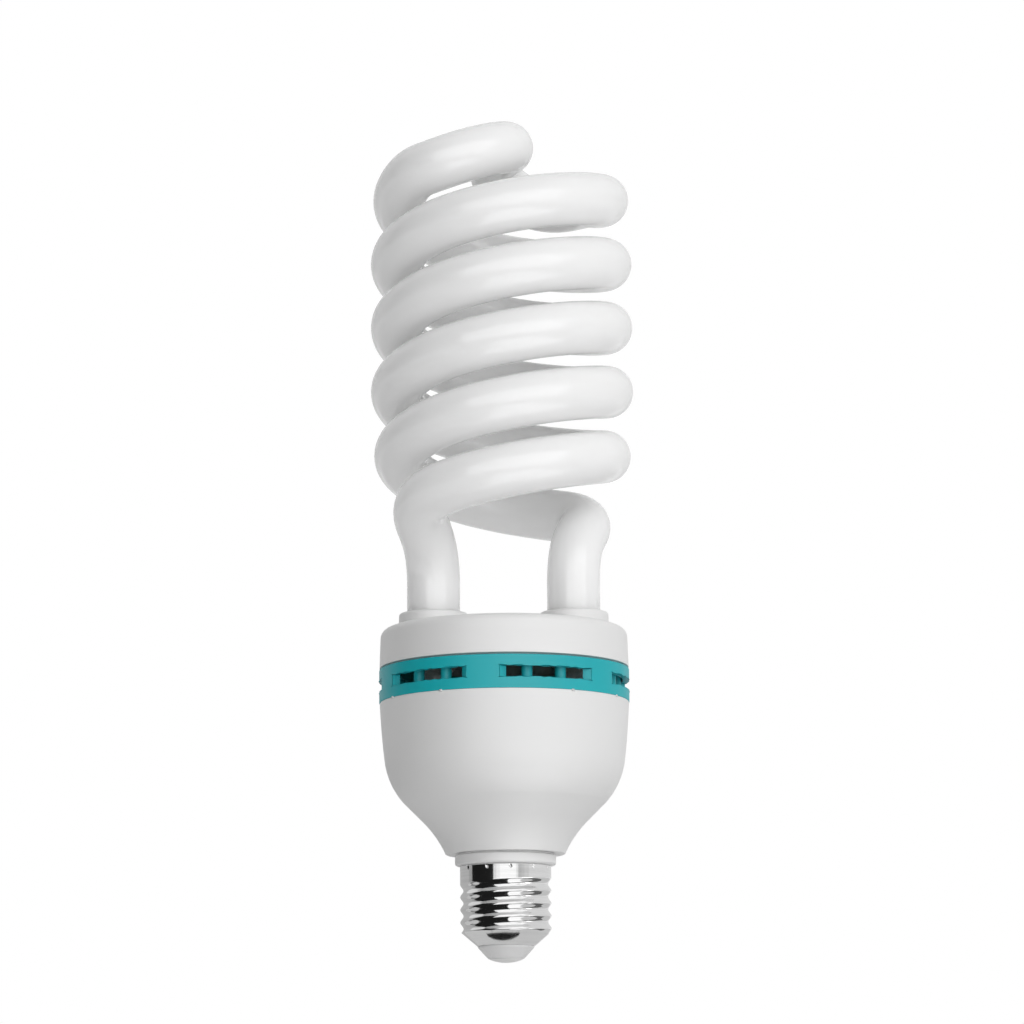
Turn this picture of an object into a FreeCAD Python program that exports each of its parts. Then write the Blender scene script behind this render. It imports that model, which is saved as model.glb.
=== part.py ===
import FreeCAD, Part
import Sketcher
import math
import os

# Spiral energy saving bulb with an E27 screw cap. Millimetres, +Z up, and the origin is on the
# lamp's axis at the flat bottom of the centre contact. The two legs of the glass tube stand in
# the XZ plane, and the front of the lamp faces -Y.

Vector = FreeCAD.Vector
Z_DIR = Vector(0, 0, 1)

# Driving dimensions: alias, value, what it is
SIZES = [
    ("seat_gap", 0.05, "clearance of pieces that seat on each other"),
    ("contact_radius", 4.7, "centre contact, outer radius of its head"),
    ("contact_head", 0.9, "centre contact, height of its head"),
    ("contact_edge", 0.6, "centre contact, rounding of its rim"),
    ("contact_shank", 1.4, "centre contact, radius of its hollow shank"),
    ("contact_bore", 0.9, "centre contact, bore that takes the live wire"),
    ("contact_top", 9.8, "centre contact, top of its shank"),
    ("insulator_radius", 5.1, "insulator, radius beside the contact"),
    ("insulator_top", 8.7, "insulator, height of its upper face"),
    ("shell_wall", 0.3, "shell, thickness of the sheet"),
    ("shell_cone_reach", 4.64, "shell, reach of the bottom cone in to the insulator"),
    ("shell_mouth_height", 5.15, "shell, height of that rim"),
    ("shell_cone_proud", 0.3, "shell, how far the cone's edge stands out from the thread's root"),
    ("shell_cone_height", 9.1, "shell, height where that cone ends"),
    ("shell_root_radius", 12.3, "shell, outer radius in the thread's root"),
    ("thread_depth", 0.8, "thread, crest above root"),
    ("thread_pitch", 3.629, "thread, seven turns to the inch"),
    ("thread_turns", 3.5, "thread, number of turns"),
    ("thread_start", 9.75, "thread, height of the crest where it starts"),
    ("thread_curve", 1.18, "thread, radius of curvature of the crest"),
    ("skirt_proud", 0.9, "shell, how far the plain skirt stands out from the thread's root"),
    ("skirt_start", 23.3, "shell, height where the skirt starts"),
    ("shell_top", 27.8, "shell, height of its top edge"),
    ("dimple_radius", 0.55, "shell, radius of a punched dimple"),
    ("dimple_drop", 1.1, "shell, dimple centres below the top edge"),
    ("dimple_depth", 0.15, "shell, depth of a dimple"),
    ("dimple_count", 12, "shell, dimples around the skirt"),
    ("neck_proud", 1.4, "housing, how far the ring above the shell stands out from it"),
    ("neck_round", 1.0, "housing, rounding under that ring"),
    ("spigot_bottom", 15.0, "housing, lower end of the spigot in the shell"),
    ("spigot_wall", 1.5, "housing, wall of the spigot"),
    ("lip_reach", 2.7, "housing, reach of the lip under the bowl from that ring"),
    ("lip_height", 31.1, "housing, height of the lip"),
    ("flare_radius", 24.0, "housing, radius where the hollow flare ends"),
    ("flare_height", 40.8, "housing, height where the hollow flare ends"),
    ("flare_curve", 32.0, "housing, radius of curvature of the flare"),
    ("slope_length", 5.3, "housing, run of the 45 degree slope"),
    ("shoulder_inset", 1.35, "housing, top of the shoulder inside the upper rim"),
    ("shoulder_height", 58.5, "housing, height of the top of the shoulder"),
    ("shoulder_curve", 22.0, "housing, radius of curvature of the shoulder"),
    ("bowl_radius", 36.25, "housing, radius at its upper rim"),
    ("bowl_curve", 220.0, "housing, radius of curvature of the bowl's side"),
    ("bowl_wall", 1.8, "housing, wall"),
    ("ring_bottom", 75.0, "vent ring, height of its lower edge"),
    ("ring_height", 9.6, "vent ring, height"),
    ("ring_proud", 0.15, "vent ring, how far it stands out from the housing's rim"),
    ("ring_wall", 1.75, "vent ring, wall"),
    ("ring_reach", 5.65, "vent ring, reach of its flanges in from the housing's rim"),
    ("ring_flange", 1.2, "vent ring, thickness of its flanges"),
    ("ring_spigot", 2.0, "vent ring, depth of the spigots in bowl and cap"),
    ("spigot_fit", 0.25, "vent ring, clearance of its lower spigot in the bowl's draft"),
    ("slot_count", 6, "vent ring, number of slots"),
    ("slot_height", 3.4, "vent ring, height of a slot"),
    ("slot_outer_chord", 27.8, "vent ring, width of a slot at the outer face"),
    ("slot_inner_chord", 23.0, "vent ring, width of a slot at the inner face"),
    ("slot_turn", -69.4, "vent ring, direction of its first slot in degrees"),
    ("post_radius", 1.6, "vent ring, radius of a post behind a slot"),
    ("post_inset", 4.1, "vent ring, circle of posts inside its outer radius"),
    ("post_spread", 9.0, "vent ring, angle of a post beside its slot's centre"),
    ("cap_gap", 0.4, "cap, shadow gap above the vent ring"),
    ("cap_proud", 0.05, "cap, how far its lower edge stands out from the housing's rim"),
    ("cap_draft", 0.3, "cap, taper up to its rounded corner"),
    ("cap_corner", 2.6, "cap, rounding of its upper corner"),
    ("cap_height", 12.0, "cap, height of its flat top above the vent ring"),
    ("cap_wall", 2.0, "cap, wall"),
    ("cap_land", 0.9, "cap, width of its outer edge over the shadow gap"),
    ("collar_radius", 10.1, "cap, outer radius of a collar"),
    ("collar_height", 4.9, "cap, height of a collar above the top"),
    ("collar_fit", 0.3, "cap, clearance of a leg in its collar"),
    ("sleeve_wall", 1.8, "cap, wall of the sleeves around the legs"),
    ("sleeve_depth", 5.0, "cap, depth of the sleeves under the top"),
    ("tube_radius", 7.75, "glass tube, outer radius"),
    ("coil_radius", 31.0, "glass tube, radius of the coil's centre line"),
    ("coil_pitch", 38.75, "glass tube, rise of a strand in a turn"),
    ("coil_rise", 12.6, "glass tube, height of strand A at angle zero above the cap"),
    ("coil_start", 230.6, "glass tube, angle where a strand joins its leg"),
    ("coil_end", 1110.0, "glass tube, angle where a strand turns inwards"),
    ("leg_offset", 20.5, "glass tube, distance of a leg from the axis"),
    ("leg_rise", 14.5, "glass tube, straight of a leg above the cap"),
    ("leg_depth", 9.6, "glass tube, round section of a leg below the cap's top"),
    ("bridge_rise", 12.1, "glass tube, rise of the bridge from the coil to the axis"),
    ("seal_width", 8.0, "glass tube, width of the press seal"),
    ("seal_thickness", 3.2, "glass tube, thickness of the press seal"),
    ("seal_length", 5.0, "glass tube, length of the press seal"),
    ("seal_taper", 3.0, "glass tube, height of the drawn-in end"),
    ("cement_height", 2.3, "cement, height of the bead under a sleeve"),
    ("cement_taper", 0.8, "cement, how far its lower edge is drawn in"),
    ("board_fit", 1.45, "circuit board, clearance of its edge in the housing"),
    ("board_drop", 6.0, "circuit board, its lower face below the housing's rim"),
    ("board_thickness", 1.6, "circuit board, thickness"),
    ("rib_count", 6, "housing, ribs that carry the board"),
    ("rib_thickness", 1.6, "housing, thickness of a rib"),
    ("rib_reach", 5.2, "housing, reach of a rib from the outer radius"),
    ("rib_depth", 6.9, "housing, height of a rib's inner edge under the board"),
    ("pin_side", 0.9, "wrap pins, side of their square section"),
    ("pin_height", 7.0, "wrap pins, height above the board"),
    ("pin_inset", 5.0, "wrap pins, distance in from the board's edge"),
    ("pin_y", 5.0, "wrap pins, distance from the XZ plane"),
    ("lead_radius", 0.3, "tube's lead wires, radius"),
    ("lead_spread", 2.4, "tube's lead wires, distance from the leg's axis"),
    ("supply_radius", 0.7, "supply wires, radius over the insulation"),
    ("supply_inset", 1.85, "supply wires, distance in from the wall of the spigot"),
    ("can_radius", 6.3, "smoothing capacitor, radius of the can"),
    ("can_bottom", 20.5, "smoothing capacitor, height of its lower end"),
    ("can_length", 24.0, "smoothing capacitor, length of the can"),
    ("can_crimp", 0.6, "smoothing capacitor, depth of the crimp"),
    ("can_groove", 2.7, "smoothing capacitor, crimp below its top"),
    ("can_lead", 2.5, "smoothing capacitor, distance of a lead from its axis"),
    ("wire_radius", 0.35, "components, radius of their wire leads"),
    ("core_width", 19.0, "resonant choke, width of the core"),
    ("core_height", 16.0, "resonant choke, height of the core"),
    ("core_depth", 5.0, "resonant choke, depth of the core and width of its middle leg"),
    ("core_yoke", 2.4, "resonant choke, thickness of yokes and outer legs"),
    ("bobbin_wall", 0.8, "resonant choke, wall of the bobbin"),
    ("bobbin_flange", 13.4, "resonant choke, width of a bobbin flange"),
    ("winding_depth", 10.2, "resonant choke, depth over the winding"),
    ("choke_y", 15.0, "resonant choke, distance behind the axis"),
    ("filter_inset", 12.0, "filter choke, distance in from the board's edge"),
    ("filter_y", 4.0, "filter choke, distance in front of the XZ plane"),
    ("drum_radius", 4.8, "filter choke, radius of the drum core"),
    ("drum_waist", 2.2, "filter choke, radius of its waist"),
    ("drum_height", 11.0, "filter choke, height"),
    ("drum_flange", 1.5, "filter choke, thickness of a flange"),
    ("toroid_radius", 5.0, "drive toroid, outer radius"),
    ("toroid_bore", 2.6, "drive toroid, inner radius"),
    ("toroid_height", 4.4, "drive toroid, height"),
    ("toroid_layer", 0.45, "drive toroid, thickness of its windings"),
    ("toroid_inset", 12.5, "drive toroid, distance in from the board's edge"),
    ("toroid_y", 8.0, "drive toroid, distance in front of the XZ plane"),
    ("film_inset", 14.0, "film capacitors, distance in from the board's edge"),
    ("film_y", 12.0, "film capacitors, distance behind the XZ plane"),
    ("film_length", 12.0, "film capacitors, length"),
    ("film_width", 5.0, "film capacitors, width"),
    ("film_height", 9.5, "film capacitors, height"),
    ("film_round", 0.8, "film capacitors, rounding of the coating"),
    ("switch_x", 8.5, "power transistors, distance from the YZ plane"),
    ("switch_inset", 12.0, "power transistors, distance in from the board's front edge"),
    ("switch_width", 8.0, "power transistors, width"),
    ("switch_depth", 3.2, "power transistors, thickness"),
    ("switch_height", 11.0, "power transistors, height of the moulded body"),
    ("switch_lead", 4.0, "power transistors, length of the leads"),
    ("switch_hole", 1.6, "power transistors, radius of the mounting hole"),
    ("diode_radius", 1.35, "rectifier diodes, radius"),
    ("diode_length", 5.0, "rectifier diodes, length"),
    ("diode_span", 10.0, "rectifier diodes, spacing of their leads"),
    ("diode_step", 4.2, "rectifier diodes, spacing beside each other"),
    ("axial_y", 9.0, "diodes and fuse resistor, distance in front of the XZ plane"),
    ("fuse_gap", 9.0, "fuse resistor, distance from the drive toroid's axis"),
    ("fuse_radius", 1.7, "fuse resistor, radius"),
    ("fuse_length", 7.0, "fuse resistor, length"),
    ("fuse_span", 12.0, "fuse resistor, spacing of its leads"),
    ("sleeve_thickness", 0.4, "fuse resistor, wall of its sleeve"),
]


# Linked sizes: a number with the expression that ties it to the sheet of sizes
class Size:
    def __init__(self, value, text):
        self.value = float(value)
        self.text = text

    def __add__(self, other):
        return Size(self.value + number(other), f"({self.text} + {text(other)})")

    def __sub__(self, other):
        return Size(self.value - number(other), f"({self.text} - {text(other)})")

    def __mul__(self, other):
        return Size(self.value * number(other), f"({self.text} * {text(other)})")

    def __truediv__(self, other):
        return Size(self.value / number(other), f"({self.text} / {text(other)})")

    def __neg__(self):
        return Size(-self.value, f"(0 - {self.text})")

    def root(self):
        return Size(math.sqrt(self.value), f"sqrt({self.text})")

    __radd__ = __add__
    __rmul__ = __mul__


def number(size):
    return size.value if isinstance(size, Size) else float(size)


def text(size):
    return size.text if isinstance(size, Size) else f"{float(size):.6g}"


class Sizes:
    """The driving dimensions by name."""

    def __init__(self, rows):
        for alias, value, _ in rows:
            setattr(self, alias, Size(value, f"sizes.{alias}"))


doc = FreeCAD.newDocument("spiral_bulb")
S = Sizes(SIZES)
NODES = []

# Radii and heights that follow from the driving dimensions
S.shell_cone_radius = S.shell_root_radius + S.shell_cone_proud
S.shell_mouth_radius = S.shell_cone_radius - S.shell_cone_reach
S.skirt_radius = S.shell_root_radius + S.skirt_proud
S.neck_radius = S.skirt_radius + S.neck_proud
S.lip_radius = S.neck_radius + S.lip_reach
S.spigot_radius = S.shell_root_radius - S.shell_wall - S.seat_gap * 3
S.spigot_bore = S.spigot_radius - S.spigot_wall
S.shoulder_radius = S.bowl_radius - S.shoulder_inset
S.ring_radius = S.bowl_radius + S.ring_proud
S.ring_bore = S.bowl_radius - S.ring_reach
S.post_circle = S.ring_radius - S.post_inset
S.cap_radius = S.bowl_radius + S.cap_proud
S.cap_shoulder = S.cap_radius - S.cap_draft
S.board_radius = S.bowl_radius - S.bowl_wall - S.board_fit
S.board_height = S.ring_bottom - S.board_drop
S.pin_x = S.board_radius - S.pin_inset
S.filter_x = S.board_radius - S.filter_inset
S.toroid_x = S.board_radius - S.toroid_inset
S.fuse_x = S.toroid_x - S.fuse_gap
S.film_x = S.board_radius - S.film_inset
S.switch_y = S.board_radius - S.switch_inset
S.supply_offset = S.spigot_bore - S.supply_inset
S.ring_top = S.ring_bottom + S.ring_height
S.cap_top = S.ring_top + S.cap_height
S.leg_bottom = S.cap_top - S.leg_depth
S.leg_top = S.cap_top + S.leg_rise
S.coil_base = S.cap_top + S.coil_rise

# Shares of a wall at its corners
DIAGONAL = math.sqrt(0.5)
HALF_CORNER = math.tan(math.radians(22.5))
FLARE_OUT = math.cos(math.radians(24.3))
FLARE_UP = math.sin(math.radians(24.3))


def fill_sheet():
    sheet = doc.addObject("Spreadsheet::Sheet", "sizes")
    for row, (alias, value, meaning) in enumerate(SIZES, start=1):
        sheet.set(f"A{row}", meaning)
        sheet.set(f"B{row}", str(value))
        sheet.setAlias(f"B{row}", alias)
    doc.recompute()


def keep(item, label):
    item.Label = label
    NODES.append(item)
    return item


def bind(item, **properties):
    """Tie properties to linked sizes; a double underscore stands for a dot."""
    for name, size in properties.items():
        item.setExpression(name.replace("__", "."), text(size))


def place(item, x=0.0, y=0.0, z=0.0):
    """Tie the origin of an item to linked sizes."""
    for axis, size in (("x", x), ("y", y), ("z", z)):
        setattr(item.Placement.Base, axis, number(size))
        item.setExpression(f"Placement.Base.{axis}", text(size))


def turn(item, axis, angle):
    item.Placement = FreeCAD.Placement(item.Placement.Base, FreeCAD.Rotation(axis, number(angle)))


# Sketches and part design features
def new_body(label):
    return keep(doc.addObject("PartDesign::Body", label), label)


def origin_plane(body, role):
    return [item for item in body.Origin.OriginFeatures if item.Role == role][0]


def attach(body, sketch, plane, lift):
    sketch.AttachmentSupport = [(origin_plane(body, plane), "")]
    sketch.MapMode = "FlatFace"
    if lift is not None:
        bind(sketch, AttachmentOffset__Base__z=lift)


def arc_of_side(start, end, radius, left):
    """Arc between two points whose centre is to the left or right of the way from start to end."""
    middle = (start + end) * 0.5
    half = (end - start).Length / 2
    across = Z_DIR.cross(end - start).normalize() * (1 if left else -1)
    centre = middle + across * math.sqrt(max(radius * radius - half * half, 0))
    circle = Part.Circle(centre, Z_DIR, radius)
    first, last = (start, end) if left else (end, start)
    angle = [math.atan2(p.y - centre.y, p.x - centre.x) for p in (first, last)]
    return Part.ArcOfCircle(circle, angle[0], angle[1])


def tie_point(sketch, geo, spot, corner):
    """Hold one end of a side at a corner given by linked sizes."""
    for kind, size, axis in (("DistanceX", corner[0], -2), ("DistanceY", corner[1], -1)):
        if not isinstance(size, Size) and size == 0:
            sketch.addConstraint(Sketcher.Constraint("PointOnObject", geo, spot, axis))
            continue
        index = sketch.addConstraint(
            Sketcher.Constraint(kind, -1, 1, geo, spot, number(size)))
        sketch.setExpression(f"Constraints[{index}]", text(size))


def outline(body, name, plane, corners, arcs=None, lift=None):
    """Closed sketch through its corners; arcs gives some sides a radius and the centre's side."""
    sketch = body.newObject("Sketcher::SketchObject", name)
    attach(body, sketch, plane, lift)
    points = [Vector(number(x), number(y), 0) for x, y in corners]
    arcs = arcs or {}
    count = len(points)
    ends = []
    for side in range(count):
        start, end = points[side], points[(side + 1) % count]
        if side in arcs:
            radius, left = arcs[side]
            geo = sketch.addGeometry(arc_of_side(start, end, number(radius), left))
            ends.append((geo, 1, 2) if left else (geo, 2, 1))
        else:
            geo = sketch.addGeometry(Part.LineSegment(start, end))
            ends.append((geo, 1, 2))
    for side in range(count):
        following = ends[(side + 1) % count]
        sketch.addConstraint(Sketcher.Constraint(
            "Coincident", ends[side][0], ends[side][2], following[0], following[1]))
    for side, corner in enumerate(corners):
        tie_point(sketch, ends[side][0], ends[side][1], corner)
    for side, (radius, _) in arcs.items():
        index = sketch.addConstraint(Sketcher.Constraint("Radius", ends[side][0], number(radius)))
        sketch.setExpression(f"Constraints[{index}]", text(radius))
    return sketch


def circles(body, name, plane, spots, radius, lift=None):
    """Sketch of equal circles at spots given by linked sizes."""
    sketch = body.newObject("Sketcher::SketchObject", name)
    attach(body, sketch, plane, lift)
    for x, y in spots:
        circle = Part.Circle(Vector(number(x), number(y), 0), Z_DIR, number(radius))
        geo = sketch.addGeometry(circle)
        tie_point(sketch, geo, 3, (x, y))
        index = sketch.addConstraint(Sketcher.Constraint("Radius", geo, number(radius)))
        sketch.setExpression(f"Constraints[{index}]", text(radius))
    return sketch


def revolve(body, name, corners, arcs=None, kind="Revolution"):
    """Turn a profile of radius and height about the Z axis."""
    sketch = outline(body, name + "_profile", "XZ_Plane", corners, arcs)
    feature = body.newObject("PartDesign::" + kind, name)
    feature.Profile = sketch
    feature.ReferenceAxis = (sketch, ["V_Axis"])
    feature.Angle = 360
    return feature


def pad(body, name, sketch, length, reverse=False):
    feature = body.newObject("PartDesign::Pad", name)
    feature.Profile = sketch
    feature.Reversed = reverse
    bind(feature, Length=length)
    return feature


def pocket(body, name, sketch, length, reverse=False):
    feature = body.newObject("PartDesign::Pocket", name)
    feature.Profile = sketch
    feature.Reversed = reverse
    bind(feature, Length=length)
    return feature


def around(body, name, features, count):
    """Repeat features around the Z axis."""
    pattern = body.newObject("PartDesign::PolarPattern", name)
    pattern.Originals = features
    axis = [item for item in body.Origin.OriginFeatures if item.Role == "Z_Axis"][0]
    pattern.Axis = (axis, [""])
    pattern.Angle = 360
    bind(pattern, Occurrences=count)
    body.Tip = pattern
    return pattern


# Primitives and booleans
def cylinder(name, radius, height, x=0.0, y=0.0, z=0.0):
    item = doc.addObject("Part::Cylinder", name)
    bind(item, Radius=radius, Height=height)
    place(item, x, y, z)
    return item


# Glass tube: waypoints of the centre line with their directions
def helix_point(angle):
    """Point and direction of strand A at an angle in degrees."""
    turn_angle = math.radians(angle)
    radius, pitch = S.coil_radius.value, S.coil_pitch.value
    height = S.coil_base.value + pitch * angle / 360
    point = Vector(radius * math.cos(turn_angle), radius * math.sin(turn_angle), height)
    slope = pitch / (2 * math.pi)
    way = Vector(-radius * math.sin(turn_angle), radius * math.cos(turn_angle), slope)
    return point, way.normalize()


def bridge_point(share):
    """Point and direction on the half circle from the coil to the axis, share from 0 to 1."""
    end = math.radians(S.coil_end.value)
    half = S.coil_radius.value / 2
    centre = Vector(half * math.cos(end), half * math.sin(end), 0)
    angle = end + math.pi * share
    low = helix_point(S.coil_end.value)[0].z
    rise = S.bridge_rise.value
    height = low + rise * share * share * (3 - 2 * share)
    climb = rise * 6 * share * (1 - share) / (math.pi * half)
    point = centre + Vector(half * math.cos(angle), half * math.sin(angle), height)
    return point, Vector(-math.sin(angle), math.cos(angle), climb).normalize()


def strand():
    """Waypoints of strand A from the foot of its leg to the top of the bridge."""
    leg = -S.leg_offset.value
    points = [(Vector(leg, 0, S.leg_bottom.value), Z_DIR), (Vector(leg, 0, S.leg_top.value), Z_DIR)]
    start, end = S.coil_start.value, S.coil_end.value
    spans = round((end - start) / 60)
    for step in range(spans + 1):
        points.append(helix_point(start + (end - start) * step / spans))
    for step in range(1, 5):
        points.append(bridge_point(step / 4))
    return points


def opposite(waypoint):
    """The same waypoint on strand B, which is half a turn round, on the way down."""
    point, way = waypoint
    return Vector(-point.x, -point.y, point.z), Vector(way.x, way.y, -way.z)


def tangent_arcs(start, start_way, end, end_way):
    """Two arcs that join two points with given directions, each as start, direction and end."""
    across = end - start
    both = start_way + end_way
    bend = 1 - start_way.dot(end_way)
    if bend < 1e-9:
        return [(start, start_way, end)]
    reach = across.dot(both)
    length = (math.sqrt(reach * reach + 2 * bend * across.dot(across)) - reach) / (2 * bend)
    first, second = start + start_way * length, end - end_way * length
    joint = (first + second) * 0.5
    return [(start, start_way, joint), (joint, (second - first).normalize(), end)]


def sweep_section(section, start, way, end):
    """Carry the circular section along an arc or a line; returns the wall and the section."""
    chord = end - start
    inward = chord - way * chord.dot(way)
    if inward.Length < 1e-6:
        return section.extrude(chord), section.translated(chord)
    inward.normalize()
    radius = chord.dot(chord) / (2 * chord.dot(inward))
    centre = start + inward * radius
    axis = way.cross(inward)
    angle = 2 * math.degrees(math.asin(chord.Length / (2 * radius)))
    return section.revolve(centre, axis, angle), section.rotated(centre, axis, angle)


def closed_solid(walls):
    """Solid inside a closed set of faces."""
    shell = Part.makeShell(walls)
    shell.sewShape()
    solid = Part.makeSolid(Part.Shell(shell.Faces))
    if solid.Volume < 0:
        solid.reverse()
    return solid


def press_seal(side):
    """Drawn-in end of a leg with the flat press seal that holds the lead wires."""
    foot = Vector(side * S.leg_offset.value, 0, S.leg_bottom.value)
    taper, width = S.seal_taper.value, S.seal_width.value
    thickness, length = S.seal_thickness.value, S.seal_length.value
    end = Part.makeCone(width / 2, S.tube_radius.value, taper, foot - Z_DIR * taper)
    corner = foot - Vector(width / 2, thickness / 2, taper + length)
    return end.fuse(Part.makeBox(width, thickness, length + taper / 2, corner))


def build_spiral_tube():
    way_up = strand()
    way_down = [opposite(waypoint) for waypoint in reversed(way_up[:-1])]
    route = way_up + way_down
    section = Part.Circle(route[0][0], Z_DIR, S.tube_radius.value).toShape()
    walls = [Part.Face(Part.Wire(section))]
    for (start, start_way), (end, end_way) in zip(route, route[1:]):
        for piece in tangent_arcs(start, start_way, end, end_way):
            wall, section = sweep_section(section, *piece)
            walls.append(wall)
    walls.append(Part.Face(Part.Wire(section)))
    glass = closed_solid(walls)
    for side in (-1, 1):
        glass = glass.fuse(press_seal(side))
    tube = doc.addObject("Part::Feature", "spiral_tube")
    tube.Shape = glass.removeSplitter()
    return keep(tube, "spiral_tube")


# Screw cap
def build_centre_contact():
    body = new_body("centre_contact")
    rim, edge = S.contact_radius, S.contact_edge
    corners = [
        (0, 0), (rim - edge, 0), (rim, edge), (rim, S.contact_head),
        (S.contact_shank, S.contact_head), (S.contact_shank, S.contact_top),
        (S.contact_bore, S.contact_top), (S.contact_bore, S.contact_head), (0, S.contact_head)]
    revolve(body, "contact", corners, {1: (edge, True)})


def cone_run():
    """Growth of the shell's radius with height on the bottom cone."""
    rise = S.shell_cone_height - S.shell_mouth_height
    return (S.shell_cone_radius - S.shell_mouth_radius) / rise


def mouth_inner_radius():
    """Radius of the shell's inner cone surface at the height of its mouth."""
    return S.shell_mouth_radius - S.shell_wall * (cone_run() * cone_run() + 1).root()


def build_base_insulator():
    body = new_body("base_insulator")
    bore = S.contact_shank + S.seat_gap
    waist = mouth_inner_radius() - S.seat_gap
    top_radius = waist + (S.insulator_top - S.shell_mouth_height) * cone_run()
    corners = [
        (bore, S.contact_head), (S.insulator_radius, S.contact_head),
        (waist, S.shell_mouth_height), (top_radius, S.insulator_top), (bore, S.insulator_top)]
    revolve(body, "insulator", corners)


def thread_profile(body, name, inset):
    """Section of the rolled thread, or of the hollow behind it when inset by the wall."""
    curve = S.thread_curve - inset
    chord = S.shell_root_radius + S.thread_depth - S.thread_curve + S.seat_gap
    half = (curve * curve - S.seat_gap * S.seat_gap).root()
    low = S.thread_start - half
    high = S.thread_start + half
    return outline(body, name, "XZ_Plane", [(chord, low), (chord, high)], {0: (curve, True)})


def thread_feature(body, name, kind, sketch):
    feature = body.newObject("PartDesign::" + kind, name)
    feature.Profile = sketch
    feature.ReferenceAxis = (sketch, ["V_Axis"])
    feature.Mode = "pitch-turns-angle"
    bind(feature, Pitch=S.thread_pitch, Turns=S.thread_turns)
    return feature


def build_screw_shell():
    body = new_body("screw_shell")
    wall = S.shell_wall
    root, skirt, ease = S.shell_root_radius, S.skirt_radius, S.skirt_radius - S.shell_root_radius
    cone_top = S.shell_cone_height + (S.shell_cone_radius - root)
    inner_cone_top = S.shell_mouth_height + (root - wall - mouth_inner_radius()) / cone_run()
    corners = [
        (mouth_inner_radius(), S.shell_mouth_height), (S.shell_mouth_radius, S.shell_mouth_height),
        (S.shell_cone_radius, S.shell_cone_height), (root, cone_top),
        (root, S.skirt_start - ease), (skirt, S.skirt_start), (skirt, S.shell_top),
        (skirt - wall, S.shell_top), (skirt - wall, S.skirt_start + wall * HALF_CORNER),
        (root - wall, S.skirt_start - ease + wall * HALF_CORNER), (root - wall, inner_cone_top)]
    revolve(body, "sheet", corners)
    ridge = thread_profile(body, "ridge_profile", Size(0, "0"))
    thread_feature(body, "ridge", "AdditiveHelix", ridge)
    hollow = thread_profile(body, "hollow_profile", wall)
    thread_feature(body, "hollow", "SubtractiveHelix", hollow)
    reach = S.dimple_depth * 4
    spot = circles(body, "dimple_circle", "YZ_Plane", [(0, S.shell_top - S.dimple_drop)],
                   S.dimple_radius, skirt - S.dimple_depth + reach)
    dimple = pocket(body, "dimple", spot, reach)
    around(body, "dimples", [dimple], S.dimple_count)


# Housing
def build_lower_housing():
    body = new_body("lower_housing")
    wall, gap = S.bowl_wall, S.seat_gap
    skew = wall * DIAGONAL
    seat = S.skirt_radius - S.shell_wall - gap
    stem, bore = S.spigot_radius, S.spigot_bore
    taper_start = S.skirt_start + S.thread_curve / 2
    run = S.slope_length
    corners = [
        (bore, S.spigot_bottom), (stem, S.spigot_bottom),
        (stem, taper_start), (seat, taper_start + (seat - stem)),
        (seat, S.shell_top), (S.neck_radius - S.neck_round, S.shell_top),
        (S.neck_radius, S.shell_top + S.neck_round), (S.neck_radius, S.lip_height),
        (S.lip_radius, S.lip_height), (S.flare_radius, S.flare_height),
        (S.flare_radius + run, S.flare_height + run), (S.shoulder_radius, S.shoulder_height),
        (S.bowl_radius, S.ring_bottom), (S.bowl_radius - wall, S.ring_bottom),
        (S.shoulder_radius - wall, S.shoulder_height),
        (S.flare_radius + run - skew, S.flare_height + run + skew),
        (S.flare_radius - skew, S.flare_height + skew),
        (S.lip_radius - wall * FLARE_OUT, S.lip_height + wall * FLARE_UP),
        (bore, S.shell_top + S.neck_round)]
    arcs = {
        5: (S.neck_round, True), 8: (S.flare_curve, False), 10: (S.shoulder_curve, True),
        11: (S.bowl_curve, True), 13: (S.bowl_curve - wall, False),
        14: (S.shoulder_curve - wall, False), 16: (S.flare_curve + wall, True)}
    revolve(body, "bowl", corners, arcs)
    inner = S.bowl_radius - S.rib_reach
    gusset = outline(body, "rib_side", "XZ_Plane", [
        (inner, S.board_height), (inner, S.board_height - S.rib_depth),
        (S.shoulder_radius - wall / 2, S.board_height - S.rib_depth - S.rib_reach / 2),
        (S.shoulder_radius - wall / 2, S.board_height)],
        lift=-(S.rib_thickness / 2))
    rib = pad(body, "rib", gusset, S.rib_thickness)
    around(body, "ribs", [rib], S.rib_count)


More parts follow.
